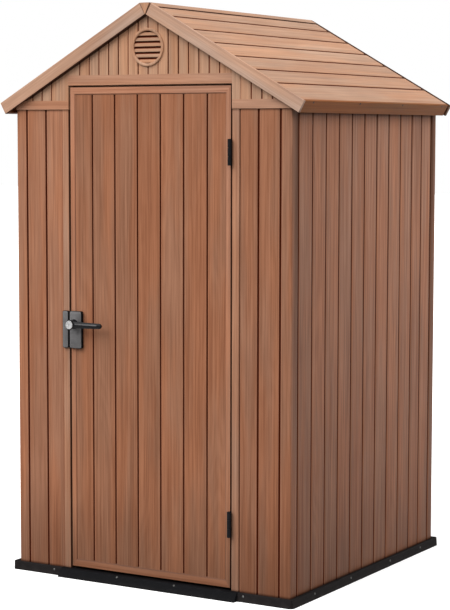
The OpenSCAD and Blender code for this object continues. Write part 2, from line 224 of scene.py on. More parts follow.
def shifted(a, b, *points):
    """Points given in millimetres from (a, b)."""
    return [(a + x * MM, b + y * MM) for x, y in points]


def mirrored(side, points):
    return [(side * a, b) for a, b in points]


def rounded(outline, radius, steps=3):
    """The outline with its corners rounded; radius is one size, or one for each corner."""
    radii = radius if isinstance(radius, (list, tuple)) else [radius] * len(outline)
    made = []
    for i, point in enumerate(outline):
        corner, size = Vector(point), radii[i]
        if size <= 0:
            made.append(tuple(corner))
            continue
        before = (Vector(outline[i - 1]) - corner).normalized()
        after = (Vector(outline[(i + 1) % len(outline)]) - corner).normalized()
        half = before.angle(after) / 2
        reach = size / math.tan(half)
        centre = corner + (before + after).normalized() * (size / math.sin(half))
        start, end = corner + before * reach - centre, corner + after * reach - centre
        made.append(tuple(corner + before * (reach + SUPPORT)))
        for k in range(steps + 1):
            ray = start.lerp(end, k / steps)
            made.append(tuple(centre + ray.normalized() * size))
        made.append(tuple(corner + after * (reach + SUPPORT)))
    return made


def bevelled(bm, width, segments=2, angle=0.5):
    """Bevels every edge that is sharper than the angle."""
    sharp = [edge for edge in bm.edges if edge.calc_face_angle(0) > angle]
    how = {"offset_type": "OFFSET", "profile": 0.5, "affect": "EDGES", "clamp_overlap": True}
    bmesh.ops.bevel(bm, geom=sharp, offset=width, segments=segments, **how)
    return bm


def box(low, high, bevel=0.0):
    """A box between two corners, with bevelled edges."""
    bm = bmesh.new()
    bmesh.ops.create_cube(bm, size=1.0)
    for vert in bm.verts:
        vert.co = Vector(low[i] + (vert.co[i] + 0.5) * (high[i] - low[i]) for i in range(3))
    return bevelled(bm, bevel) if bevel else bm


def turned(place, profile, segments=48, closed=True):
    """A solid of revolution about place's out axis, from (radius, out) points."""
    bm = bmesh.new()
    rings = []
    for radius, out in profile:
        if radius < 1e-7:
            rings.append([bm.verts.new(place.at(0, 0, out))])
            continue
        turn = [2 * math.pi * k / segments for k in range(segments)]
        rings.append([bm.verts.new(place.at(radius * math.cos(a), radius * math.sin(a), out)) for a in turn])
    for low, high in zip(rings, rings[1:] + rings[: int(closed)]):
        for k in range(segments if len(low) + len(high) > 2 else 0):
            m = (k + 1) % segments
            face = [low[k % len(low)], low[m % len(low)], high[m % len(high)], high[k % len(high)]]
            bm.faces.new(list(dict.fromkeys(face)))
    return bm


def as_object(bm, name):
    mesh = bpy.data.meshes.new(name)
    bmesh.ops.recalc_face_normals(bm, faces=bm.faces)
    bm.to_mesh(mesh)
    bm.free()
    made = bpy.data.objects.new(name, mesh)
    bpy.context.scene.collection.objects.link(made)
    return made


def drilled(bm, place, radius, low, high):
    """The solid with a round hole through it, about place's out axis."""
    drill = turned(place, [(0, low), (radius, low), (radius, high), (0, high)], 64, closed=False)
    work, tool = as_object(bm, "work"), as_object(drill, "tool")
    cut = work.modifiers.new("cut", "BOOLEAN")
    cut.operation, cut.solver, cut.object = "DIFFERENCE", "EXACT", tool
    bpy.context.view_layer.update()
    made = bmesh.new()
    made.from_mesh(work.evaluated_get(bpy.context.evaluated_depsgraph_get()).to_mesh())
    for mesh in (work.data, tool.data):  # the objects go with their meshes
        bpy.data.meshes.remove(mesh)
    return made


def grained(bm, place, board, groove=None, painted_shade=None):
    """Gives each point its place in the grain (across, along, its board's number), its groove's depth and its painted
    shade.
    """
    where = bm.verts.layers.float_vector.new("grain")
    deep, painted_shade_layer = bm.verts.layers.float.new("groove"), bm.verts.layers.float.new("painted_shade")
    for vert in bm.verts:
        u, v, n = place.local(vert.co)
        vert[where] = (u + n, v, board(u, v) if callable(board) else board)
        vert[deep] = groove(u, v, n) if groove else 0.0
        vert[painted_shade_layer] = painted_shade(u, v, n) if painted_shade else 0.0
    return bm


def build(name, parts, material, node=None, body="shed", smooth=45):
    """Joins solids into one piece, which rides on a body and may stand for a CAD node."""
    joined = bmesh.new()
    for part in parts:
        mesh = bpy.data.meshes.new("part")
        bmesh.ops.recalc_face_normals(part, faces=part.faces)
        part.to_mesh(mesh)
        part.free()
        joined.from_mesh(mesh)
        bpy.data.meshes.remove(mesh)
    mesh = bpy.data.meshes.new(name)
    joined.to_mesh(mesh)
    joined.free()
    mesh.materials.append(material)
    mesh.polygons.foreach_set("use_smooth", [smooth > 0] * len(mesh.polygons))
    if smooth > 0:
        mesh.set_sharp_from_angle(angle=math.radians(smooth))
    piece = bpy.data.objects.new(name, mesh)
    bpy.context.scene.collection.objects.link(piece)
    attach(piece, body)
    if node:
        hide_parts(node)


# ---------------------------------------------------------------- materials
GROUND_Z = 0.42  # the walls are darker up to here


class Nodes:
    """Writes the node tree of a material or of the world."""

    def __init__(self, owner, shader="Principled BSDF"):
        owner.use_nodes = True
        self.owner, self.tree = owner, owner.node_tree
        self.shader = self.tree.nodes[shader]

    def add(self, kind, inputs=(), **settings):
        node = self.tree.nodes.new("ShaderNode" + kind)
        for key, value in settings.items():
            setattr(node, key, value)
        for key, value in dict(inputs).items():
            self.feed(node.inputs[key], value)
        return node

    def feed(self, socket, value):
        if isinstance(value, bpy.types.NodeSocket):
            self.tree.links.new(value, socket)
        else:
            socket.default_value = value

    def attribute(self, name, output="Fac"):
        return self.add("Attribute", attribute_name=name).outputs[output]

    def axes(self, vector):
        return self.add("SeparateXYZ", {0: vector}).outputs

    def place(self):
        return self.add("TexCoord").outputs["Object"]

    def math(self, operation, *values, clamp=False):
        return self.add("Math", dict(enumerate(values)), operation=operation, use_clamp=clamp).outputs[0]

    def sway(self, value, share, base):
        """base, plus a share of what value is above a half."""
        return self.math("MULTIPLY_ADD", self.math("SUBTRACT", value, 0.5), share, base)

    def mix(self, factor, a, b, blend="MIX"):
        return self.add("Mix", {0: factor, 6: a, 7: b}, data_type="RGBA", blend_type=blend).outputs[2]

    def times(self, base, by):
        return self.mix(1.0, base, by, "MULTIPLY")

    def noise(self, vector, scale, detail=3.0, roughness=0.55):
        inputs = {"Vector": vector, "Scale": scale, "Detail": detail, "Roughness": roughness}
        return self.add("TexNoise", inputs).outputs["Fac"]

    def scaled(self, vector, *scale):
        return self.add("Mapping", {"Vector": vector, "Scale": scale}).outputs[0]

    def span(self, value, low, high, to_low=0.0, to_high=1.0):
        inputs = {"Value": value, "From Min": low, "From Max": high, "To Min": to_low, "To Max": to_high}
        return self.add("MapRange", inputs, interpolation_type="SMOOTHSTEP").outputs["Result"]

    def bump(self, height, distance, strength):
        inputs = {"Height": height, "Distance": distance, "Strength": strength}
        self.feed(self.shader.inputs["Normal"], self.add("Bump", inputs).outputs[0])

    def finish(self, **sockets):
        for key, value in sockets.items():
            self.feed(self.shader.inputs[key.replace("_", " ")], value)
        return self.owner


def colour(*rgb):
    return (*rgb, 1.0)


def tinted(tone, *by, more=0.0):
    """A tone times one number, or one for each of red, green and blue."""
    return colour(*(min(1.0, c * k + more) for c, k in zip(tone, by * 3)))


WHITE = colour(1.0, 1.0, 1.0)
PLAIN = (1.0, 1.0)


def wood_plastic(name, tone, streak=0.45, fade=PLAIN, ground=1.0, lean=(0, *PLAIN), gloss=0.25, foot=WHITE[:3]):
    """Moulded plastic with a wood grain: soft streaks, faint growth lines, a tint for each board, a painted highlight
    on the shallow shoulders of the grooves, painted shade deeper in them, and the painted shade that grained() gives.

    fade is painted shade: how light it is low down and at the eaves. ground is how much darker its foot is, lean is
    an axis and the painted light at the two ends of the shed along that, and foot is the tint of its foot.
    """
    n = Nodes(bpy.data.materials.new(name))
    across, along, board = n.axes(n.attribute("grain", "Vector"))

    def wave(start, scales, detail=2.0, roughness=0.55):
        parts = [n.math("MULTIPLY", part, scale) for part, scale in zip((start, along, board), scales)]
        return n.noise(n.add("CombineXYZ", dict(enumerate(parts))).outputs[0], 1.0, detail, roughness)

    groove, painted_shade = n.attribute("groove"), n.attribute("painted_shade")
    tint = n.add("TexWhiteNoise", {"W": board}, noise_dimensions="1D").outputs["Value"]
    bent = n.math("MULTIPLY_ADD", wave(across, (6, 2.2, 5)), 0.012, across)
    fine = wave(bent, (420, 7, 9), 4.0, 0.65)
    soft = wave(bent, (130, 1.8, 13), 3.0, 0.6)
    patch = wave(across, (9, 3.2, 17))
    warm = wave(across, (14, 1.4, 23))
    rings = wave(bent, (11, 0.9, 29), 1.0)
    flat_sawn = n.span(n.math("ADD", patch, n.math("MULTIPLY", tint, 0.35)), 0.62, 0.85)
    lines = n.math("MULTIPLY", n.math("SINE", n.math("MULTIPLY", rings, 95.0)), flat_sawn)
    shade = 0.0
    for value, share in ((fine, 1.6 * streak), (soft, 3.4 * streak), (patch, 0.6), (tint, 0.26)):
        shade = n.sway(value, share, shade)
    shade = n.math("MULTIPLY_ADD", lines, 0.14 * streak, shade)
    shade = n.math("ADD", shade, 0.5, clamp=True)
    base = n.mix(shade, tinted(tone, 0.72, 0.66, 0.62), tinted(tone, 1.28, 1.34, 1.38))
    red, grey = colour(1.05, 0.97, 0.90), colour(0.96, 1.02, 1.08)
    base = n.times(base, n.mix(n.span(warm, 0.36, 0.64), red, grey))
    where = n.axes(n.place())
    axis, start, end = lean
    # Painted shade and light: darker low down and lighter at the eaves, and lighter at one end of the lean axis.
    painted_height_shade = n.math("MULTIPLY", n.span(where[2], 0.0, GABLE_Z, *fade), n.span(where[2], 0.0, GROUND_Z, ground, 1.0))
    base = n.times(base, n.math("MULTIPLY", painted_height_shade, n.span(where[axis], -SIDE_X, SIDE_X, start, end)))
    base = n.times(base, n.mix(n.span(where[2], 0.0, GABLE_Z), colour(*foot), WHITE))
    # Painted highlight: the shallow shoulders of a groove are lighter.
    base = n.mix(n.span(groove, 0.02, 0.12, 0.0, 0.25), base, tinted(tone, 1.5))
    # Painted shade: the colour turns dark brown deeper in a groove.
    base = n.mix(n.span(groove, 0.16, 0.5), base, tinted(tone, 0.28, 0.09, 0.04))
    # Painted shade: darkened where grained() gave a point shade.
    base = n.mix(painted_shade, base, n.times(base, colour(0.13, 0.08, 0.06)))
    dull = n.math("MAXIMUM", n.span(groove, 0.1, 0.4), painted_shade)
    n.bump(n.math("ADD", fine, n.math("MULTIPLY", lines, 0.25)), 0.0004, 0.6)
    n.finish(Specular_IOR_Level=gloss)
    return n.finish(Base_Color=base, Roughness=n.math("MAXIMUM", n.sway(fine, 0.35, 0.5), dull))


def grained_plastic(name, tone, rough, dust=0.0, pebble=1800.0, depth=0.0001, gloss=0.1):
    """Plain moulded plastic with a fine pebble grain, and dust low down."""
    n = Nodes(bpy.data.materials.new(name))
    place = n.place()
    patch = n.noise(place, 22.0)
    base = n.mix(n.span(patch, 0.3, 0.7), tinted(tone, 0.8), tinted(tone, 1.25))
    scuff = n.noise(n.scaled(place, 35.0, 35.0, 300.0), 1.0)
    base = n.mix(n.math("MULTIPLY", n.span(scuff, 0.55, 0.75), 0.35), base, tinted(tone, 1.9, more=0.01))
    if dust:
        low = n.math("MULTIPLY", n.span(n.axes(place)["Z"], 0.02, 0.0), n.span(patch, 0.35, 0.7, 0.2, 1.0))
        base = n.mix(n.math("MULTIPLY", low, dust), base, colour(0.2, 0.18, 0.16))
    n.bump(n.noise(place, pebble, 2.0, 0.6), depth, 0.7)
    n.finish(Specular_IOR_Level=gloss)
    return n.finish(Base_Color=base, Roughness=n.sway(patch, 0.25, rough))


def metal(name, tone, rough):
    """Bare or coated metal with fine brushing and a little wear."""
    n = Nodes(bpy.data.materials.new(name))
    place = n.place()
    lines = n.noise(n.scaled(place, 700.0, 700.0, 30.0), 1.0)
    base = n.mix(n.span(n.noise(place, 160.0), 0.35, 0.7), tinted(tone, 0.8), tinted(tone, 1.15))
    n.bump(lines, 0.00008, 0.5)
    return n.finish(Base_Color=base, Roughness=n.sway(lines, 0.3, rough), Metallic=1.0)


# Where set, the fade and lean of these wood plastics are painted light and shade: lighter up high, and towards one end.
WALL = wood_plastic(
    "wall wood plastic", (0.312, 0.138, 0.077), 0.6, (0.90, 1.10), 0.64, (0, 1.10, 0.88), 0.12, (1.0, 0.95, 0.92)
)
SIDE = wood_plastic(
    "side wood plastic", (0.322, 0.148, 0.088), 0.75, (0.70, 1.30), 0.76, (1, 0.90, 1.10), 0.12, (1.0, 0.90, 0.80)
)
DOOR = wood_plastic("door wood plastic", (0.298, 0.126, 0.067), 0.6, (0.92, 1.05), 0.68, gloss=0.12)
# Lighter and greyer than the door's boards: partly its own tone and partly a painted sheen on the leaf's raised border.
BORDER = wood_plastic(
    "door border plastic", (0.40, 0.185, 0.110), 0.5, (0.87, 1.10), 0.55, gloss=0.12, foot=(0.98, 0.92, 0.84)
)
JAMB = wood_plastic("jamb wood plastic", (0.378, 0.193, 0.119), 0.5, (0.88, 1.10), 0.7, gloss=0.12)
TRIM = wood_plastic("trim wood plastic", (0.465, 0.248, 0.146))
BARGE = wood_plastic("barge wood plastic", (0.452, 0.278, 0.196), gloss=0.1)
BAND = wood_plastic("header wood plastic", (0.435, 0.212, 0.124))
# Darker and redder than the other trims: partly its own tone and partly painted shade for the eave boards' faces, which
# look down and out.
EAVE = wood_plastic("eave wood plastic", (0.266, 0.096, 0.030), 0.4, gloss=0.05)
ROOF = wood_plastic("roof wood plastic", (0.478, 0.260, 0.156))
BASE = grained_plastic("base plastic", (0.012, 0.010, 0.010), 0.7, 0.04, 900.0, 0.00025, 0.06)
RAMP = grained_plastic("ramp plastic", (0.004, 0.004, 0.005), 0.65, 0.03, 900.0, 0.00025, 0.06)
# Painted shade for the notches in the eave boards.
NOTCH_SHADE = grained_plastic("painted notch shade", (0.05, 0.022, 0.014), 0.6, 0.0, 900.0, 0.00025, 0.3)
CHARCOAL = grained_plastic("handle plastic", (0.116, 0.111, 0.112), 0.45, depth=0.00012, gloss=0.3)
# Painted highlight: the lighter band on each lever's upper facet.
LEVER_HIGHLIGHT = grained_plastic("lever painted_highlight plastic", (0.060, 0.057, 0.058), 0.4, gloss=0.3)
LEVER = grained_plastic("lever plastic", (0.004, 0.004, 0.005), 0.3)
COATED = grained_plastic("hinge coat", (0.003, 0.003, 0.004), 0.5, pebble=1500.0, depth=0.00015)
STEEL = metal("brushed steel", (0.40, 0.40, 0.40), 0.42)
SCREW = metal("screw steel", (0.12, 0.12, 0.115), 0.5)

# ---------------------------------------------------------------- walls
FRONT, BACK = facing(-1, (0, FRONT_Y, 0)), facing(1, (0, BACK_Y, 0))
FOOT_SHADE, SHADE = 9 * MM, 9 * MM  # heights of the painted shade at a wall's foot, and under the roof
FRONT_SEAM = 439.3 * MM
FRONT_WIDE, SIDE_WIDE, GABLE_WIDE, ROOF_WIDE = 1.25, 1.45, 0.85, 1.45  # widths of grooves, beside those of the door
BACK_BOARDS, FRONT_SIDE_BOARDS, REAR_SIDE_BOARDS = 6, 9, 2


def wall_levels(top=GABLE_Z, shade_z=GABLE_Z):
    """Levels of a wall: its foot, where the painted shade there ends, where the painted shade under the roof starts and
    is full, its top.
    """
    levels = [BASE_Z, BASE_Z + FOOT_SHADE, shade_z - SHADE]
    return levels + [top] if top == shade_z else levels + [shade_z, top]


# Painted shade: dark at a wall's foot over the skirt, and darkening up to the roof or the gable's band.
def wall_painted_shade(v, shade_z=GABLE_Z):
    return float(np.interp(v, [BASE_Z, BASE_Z + FOOT_SHADE, shade_z - SHADE, shade_z], [0.95, 0.0, 0.0, 0.75]))


def board_panel(node, place, boards, low, high, material, *tops):
    """A wall panel of boards, standing on the floor panel."""
    panel = prism(place, boards.outline(low, high), *wall_levels(*tops))
    grained(panel, place, boards.number, boards.groove, lambda u, v, n: wall_painted_shade(v, *tops[1:]))
    build(f"{node}_boards", [panel], material, node)


def side_top(u, n):
    return layer_z(SIDE_X + n, ROOF_T + SEAT)


for side, name in SIDES.items():
    ends = sorted((side * JAMB_X, side * POST_X))
    seams = [(side * JAMB_X, 0.9 if side > 0 else 0.25), side * FRONT_SEAM, side * POST_X]
    board_panel(f"front_wall_{name}", FRONT, Boards(f"front {name}", seams, WALL_T, FRONT_WIDE), *ends, WALL)

    ends = sorted((0.0, side * POST_X))
    boards = Boards(f"back {name}", [*ends, *even(*ends, BACK_BOARDS)], WALL_T, FRONT_WIDE)
    board_panel(f"back_wall_{name}", BACK, boards, *ends, WALL)

    place = Place((side * SIDE_X, 0, 0), Y, Z, (side, 0, 0))
    for part, low, high, count in (
        ("front", SIDE_START_Y, REAR_START_Y, FRONT_SIDE_BOARDS),
        ("rear", REAR_START_Y, POST_BACK_Y, REAR_SIDE_BOARDS),
    ):
        seams = [low, high, *even(low, high, count)]
        shares = [(at, random.Random(f"{name} {part} {i}").uniform(0.75, 1.0)) for i, at in enumerate(seams)]
        boards = Boards(f"{name} {part}", shares, WALL_T, SIDE_WIDE)
        board_panel(f"{name}_wall_{part}", place, boards, low, high, SIDE, side_top, EAVE_Z)

# ---------------------------------------------------------------- corner posts
CORNER_ROUND = 5 * MM
SIDE_GROOVE_AT = [SIDE_WIDE * at for at in GROOVE_AT]
FRONT_GROOVE_AT = [FRONT_WIDE * at for at in GROOVE_AT]


def corner_post(node, place, side, leg):
    """An angle that wraps round a corner of the shed, with its side leg carried up to the roof."""
    front = [(POST_X + d, -deep) for d, deep in zip(FRONT_GROOVE_AT, GROOVE_DEEP)]
    turn = rounded(mirrored(side, [(POST_X, 0), (SIDE_X, 0), (SIDE_X, -leg)]), [0, CORNER_ROUND, 0], 5)[1:-1]
    down = mirrored(side, [(SIDE_X - deep, -leg + d) for d, deep in zip(SIDE_GROOVE_AT, GROOVE_DEEP)][::-1])
    inner = mirrored(side, [(INNER_X, -leg), (INNER_X, -WALL_T), (POST_X, -WALL_T)])
    lower = prism(place, mirrored(side, front) + turn + down + inner, *wall_levels())
    upper_outline = [(side * SIDE_X, -WALL_T), *down, *inner[:2]]
    upper = prism(place, upper_outline, GABLE_Z, lambda u, n: layer_z(u, ROOF_T + SEAT))

    def groove(u, v, n):
        at_front = np.interp(abs(abs(u) - POST_X), FRONT_GROOVE_AT, GROOVE_DEEP) if n > -WALL_T / 2 else 0.0
        at_side = np.interp(leg + n, SIDE_GROOVE_AT, GROOVE_DEEP) if abs(u) > (SIDE_X + INNER_X) / 2 else 0.0
        return float(max(at_front, at_side)) / GROOVE_DEEP[0]

    # Painted shade at the foot and under the roof, as on the walls.
    def painted_shade(u, v, n):
        return wall_painted_shade(v, GABLE_Z if n > -WALL_T else EAVE_Z)

    for part in (lower, upper):
        grained(part, place, number(node), groove, painted_shade)
    build(f"{node}_angle", [lower, upper], WALL, node)


for side, name in SIDES.items():
    corner_post(f"corner_post_front_{name}", FRONT, side, SIDE_START_Y - FRONT_Y)
    corner_post(f"corner_post_back_{name}", BACK, side, BACK_Y - POST_BACK_Y)

# ---------------------------------------------------------------- doorway
JAMB_PROUD = FRONT_Y - jamb_low.y
STOP_X, STOP_FRONT_Y, STOP_BACK_Y = jamb_low.x, leaf_high.y + 5.5 * MM, jamb_high.y
HANDLE_CLEAR, GAP_EDGE, SOFT_EDGE, SMALL_EDGE = mm(10, 2.5, 4, 1)
GAP_DARK = 0.9 * MM  # a jamb's face is painted with the shade of the gap up to there
inner_plate_low, inner_plate_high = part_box("handle_plate_inner")


def jamb_painted_shade(u, v, n):
    """Painted shade: the side of a jamb that faces the leaf, and its rounded edge, are dark as the gap's shade; the
    rest is as on a wall.
    """
    return 0.95 if abs(u) < DOORWAY_X + GAP_DARK and n > -WALL_T / 2 else wall_painted_shade(v)


def doorway_box(x0, x1, y0, z0, z1):
    return box((min(x0, x1), y0, z0), (max(x0, x1), STOP_BACK_Y, z1), SMALL_EDGE)


for side, name in SIDES.items():
    strip = [(DOORWAY_X, -WALL_T), (DOORWAY_X, JAMB_PROUD), (JAMB_X, JAMB_PROUD), (JAMB_X, -WALL_T)]
    strip = rounded(mirrored(side, strip), [0, GAP_EDGE, SOFT_EDGE, 0], 4)
    strip.insert(1, (side * DOORWAY_X, -2 * MM))
    face = prism(FRONT, strip, *wall_levels())
    grained(face, FRONT, number("jamb", name), None, jamb_painted_shade)
    runs = [(BASE_Z, DOORWAY_TOP)]
    if side < 0:
        runs = [(BASE_Z, inner_plate_low.z - HANDLE_CLEAR), (inner_plate_high.z + HANDLE_CLEAR, DOORWAY_TOP)]
    parts = [doorway_box(side * DOORWAY_X, side * JAMB_X, FRONT_Y + WALL_T, BASE_Z, DOORWAY_TOP)]
    parts += [doorway_box(side * STOP_X, side * (DOORWAY_X + SMALL_EDGE), STOP_FRONT_Y, *run) for run in runs]
    parts = [face] + [grained(part, FRONT, number("jamb", name)) for part in parts]
    build(f"door_jamb_{name}_post", parts, JAMB, f"door_jamb_{name}")

HEADER = facing(-1, (0, 0, 0), lengthways=True)
rail = doorway_box(header_low.x, header_high.x, FRONT_Y + WALL_T, DOORWAY_TOP, header_high.z)
stop = doorway_box(-STOP_X, STOP_X, STOP_FRONT_Y, header_low.z, header_high.z)
header_parts = [grained(part, HEADER, number("header")) for part in (rail, stop)]
build("door_header_rail", header_parts, TRIM, "door_header")

# ---------------------------------------------------------------- gables
GABLE_BAND = 32 * MM  # smooth border along the bottom of a gable
GABLE_PITCH, TRIM_LINE = 41.2 * MM, 370.8 * MM
GABLE_GROOVES, MIDDLE_GROOVES = 13, 7  # on each side of the one in the middle, and above the door
vent_low, vent_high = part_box("vent_front")
VENT_Z = (vent_low.z + vent_high.z) / 2
VENT_R = (vent_high.x - vent_low.x) / 2
VENT_RIM, VENT_WALL, VENT_T = mm(10, 3, 6)
OPENING_R = VENT_R - VENT_RIM
SHADE_AT = mm(0, 2, 4)  # distances under a barge board
SHADE_PAINTED = [0.95, 0.9, 0.0]  # painted shadow on the gable there


def gable_painted_shadow(u, v, n):
    """Painted shadow in the corner under a barge board."""
    depth = (APEX_Z - abs(u) * TAN - v) * COS
    return float(np.interp(depth - BOARD_DEEP, SHADE_AT, SHADE_PAINTED))


def under_barge(start, depth, step):
    """The line on a gable that runs that deep below the roof's surface, kept above the gable's band."""
    return lambda u, n: max(layer_z(u, depth), start + step * SUPPORT)


def gable(node, low_y, high_y, out):
    """A gable plate of boards over a smooth band, parted round the top of the doorway, with a hole for the vent."""
    face_y, thickness = (low_y if out < 0 else high_y), high_y - low_y
    place, lengthways = facing(out, (0, face_y, 0)), facing(out, (0, face_y, 0), lengthways=True)
    grooves = range(-GABLE_GROOVES, GABLE_GROOVES + 1)
    seams = [(k * GABLE_PITCH, random.Random(f"{node} {k}").uniform(0.35, 0.85)) for k in grooves]
    low_start = GABLE_Z + GABLE_BAND
    runs = [(-SIDE_X, SIDE_X, GABLE_Z, low_start, seams)]
    if out < 0:
        middle = [seam for seam in seams if abs(seam[0]) < (MIDDLE_GROOVES + 0.5) * GABLE_PITCH]
        runs = [(-DOORWAY_X, DOORWAY_X, DOORWAY_TOP, header_high.z, middle)]
        for side, line in ((-1, 0.12), (1, 0.3)):
            own = [seam for seam in seams if side * seam[0] > TRIM_LINE + GABLE_PITCH / 2] + [(side * TRIM_LINE, line)]
            runs.append((*sorted((side * DOORWAY_X, side * SIDE_X)), GABLE_Z, low_start, own))
    parts, bands = [], []
    for low, high, bottom, start, own in runs:
        boards = Boards(f"{node} {low:.3f}", own, thickness, GABLE_WIDE)
        lines = [under_barge(start, BOARD_DEEP + away, k + 1) for k, away in enumerate(SHADE_AT[::-1])]
        part = prism(place, boards.outline(low, high), start, *lines, under_barge(start, ROOF_T + SEAT, 4))
        if low < 0 < high:
            hole = facing(out, (0, face_y, VENT_Z))
            part = drilled(part, hole, OPENING_R + VENT_WALL + SEAT, -2 * thickness, thickness)
        parts.append(grained(part, place, boards.number, boards.groove, gable_painted_shadow))
        outline = rounded([(bottom, -thickness), (bottom, 0), (start, 0), (start, -thickness)], [0, 2 * MM, 0, 0])
        band = prism(lengthways, outline, low, high)
        bands.append(grained(band, lengthways, number(f"{node} band", len(bands))))
    build(f"{node}_band", bands, BAND)
    build(f"{node}_plate", parts, TRIM, node)


gable("gable_front", gable_low.y, gable_high.y, -1)
gable("gable_back", gable_back_low.y, gable_back_high.y, 1)

# ---------------------------------------------------------------- vents
SLATS = 6
SLAT_LAP = 55.0 * MM  # no part of a slat is further than this above the middle of the vent
# Outline of a slat, as (up, out) from its middle: an upright lip, and a blade that rises behind the next one
SLAT = shifted(0, 0, (-7, -1.5), (-7, 1.6), (2.6, 0.6), (5, -2.3), (12.6, -11.5), (11.2, -13.2), (0, -2.2))
SLAT_ROUND = mm(0.5, 1.2, 1.2, 0, 0.5, 0.5, 0.5)


def vent(node, face_y, out):
    """A round vent: a rounded flange, a sleeve through the gable, and lapped slats that shed the rain."""
    place, across = (facing(out, (0, face_y, VENT_Z), way) for way in (False, True))
    sleeve, lip = -(WALL_T + 3 * MM), 2.4 * MM
    profile = [(VENT_R, 0.0), (VENT_R, VENT_T - lip - SUPPORT)]
    for k in range(6):
        turn = math.pi / 2 * k / 5
        profile.append((VENT_R - lip + lip * math.cos(turn), VENT_T - lip + lip * math.sin(turn)))
    profile += [(VENT_R - lip - SUPPORT, VENT_T), *shifted(OPENING_R, VENT_T, (3, 0), (0.8, -1.2), (0, -2.6))]
    profile += [(OPENING_R, 0.0), (OPENING_R, sleeve), (OPENING_R + VENT_WALL, sleeve), (OPENING_R + VENT_WALL, 0.0)]

    # Painted shade on the inside of the sleeve.
    def ring_groove(u, v, n):
        return 0.6 if n < VENT_T / 2 and math.hypot(u, v) < OPENING_R + MM else 0.0

    # Painted shade on the back of each slat's blade, under the next slat's lip.
    def slat_groove(v, u, n):
        return float(np.interp(n, mm(-3, 0.2), [0.7, 0.0]))

    def chord(v, n):
        return math.sqrt((OPENING_R + 0.5 * MM) ** 2 - v * v)

    parts = [grained(turned(place, profile, 72), place, number(node), ring_groove)]
    for i in range(SLATS):
        middle = (i - (SLATS - 1) / 2) * (2 * OPENING_R / SLATS)
        outline = [(min(middle + v, SLAT_LAP), n) for v, n in rounded(SLAT, SLAT_ROUND)]
        slat = prism(across, outline, lambda v, n: -chord(v, n), chord)
        parts.append(grained(slat, across, number(node, i + 1), slat_groove))
    build(f"{node}_louvre", parts, TRIM, node, smooth=50)


vent("vent_front", gable_low.y, -1)
vent("vent_back", gable_back_high.y, 1)

# ---------------------------------------------------------------- roof
PANEL_LEN = SLOPE_LEN - BOARD_T - SEAT
SHOULDER = CAP_T + SEAT
REAR_T = 16 * MM  # the barge boards at the back are that thick
REAR_PROUD = 2 * MM  # their inner edge stands that high above the roof
REAR_DROP = 4 * MM  # and their top falls that much to the back
REAR_OPEN = 22 * MM  # the roof's surface ends that far before the CAD's, in a channel along those boards
REAR_JOINT = 7 * MM  # and its underside that far
ROOF_GROOVES = 6


def rear_end(outer=True, more=0.0):
    """Where the roof ends at the back."""
    return roof_high.y - more - (REAR_OPEN if outer else REAR_JOINT)


for side, name in SIDES.items():
    place = slope_place(side)
    start = CAP_REACH + SEAT
    shoulder_z = RIDGE_Z - SHOULDER
    seams = [start, *(ROOF_GROOVE + i * ROOF_PITCH for i in range(ROOF_GROOVES))]
    boards = Boards(f"roof {name}", seams, ROOF_T, ROOF_WIDE)
    outline = [*boards.outline(start, PANEL_LEN), slope_at(SEAT, layer_z(SEAT, ROOF_T)), slope_at(SEAT, shoulder_z)]
    outline += [((APEX_Z - shoulder_z - SHOULDER * COS) / SIN, -SHOULDER), (start, -SHOULDER)]
    ends = [lambda s, n, more=more: rear_end(n > -SHOULDER - SEAT, more) for more in (SUPPORT, 0.0)]
    panel = prism(place, outline, roof_low.y, *ends)

    # Painted shade on the roof's end, in the channel along the back barge boards.
    def groove(s, y, n, boards=boards):
        return 1.0 if y > rear_end(n > -SHOULDER - SEAT, SUPPORT / 2) else boards.groove(s, y, n)

    grained(panel, place, boards.number, groove)
    build(f"roof_panel_{name}_boards", [panel], ROOF, f"roof_panel_{name}")

CAP = Place((0, 0, 0), X, Y, Z)
KEY = facing(-1, (0, 0, 0))
FOLD_ROUND, CAP_DARK, KEY_TIP, KEY_BEVEL = mm(6, 3, 0.6, 1.1)
KEY_JOINT = {-1: 0.9 * MM, 1: 4.0 * MM}  # open joint on the left and the right of a keystone
flat_x, under_z = RIDGE_FLAT / 2, RIDGE_Z - CAP_T


def down_slope(s, depth=0.0):
    """(x, z) of a point down the right-hand slope."""
    return s * COS - depth * SIN, APEX_Z - s * SIN - depth * COS


dark = [down_slope(CAP_REACH - CAP_DARK - more) for more in (SUPPORT, 0.0)]
flank, edge = down_slope(CAP_REACH), down_slope(CAP_REACH, CAP_T)
bend = down_slope((APEX_Z - under_z - CAP_T * COS) / SIN, CAP_T)
cap_half = [(0, RIDGE_Z), (flat_x, RIDGE_Z), *dark, flank, edge, bend]
cap_half = rounded(cap_half, [0, FOLD_ROUND, 0, 0, 1.2 * MM, 0, 0], 4)


def cap_painted_shadow(x, y, z):
    """Painted shadow along the cap's lower edges."""
    return 0.95 if slope_at(abs(x), z)[0] > CAP_REACH - CAP_DARK - SUPPORT / 2 else 0.0


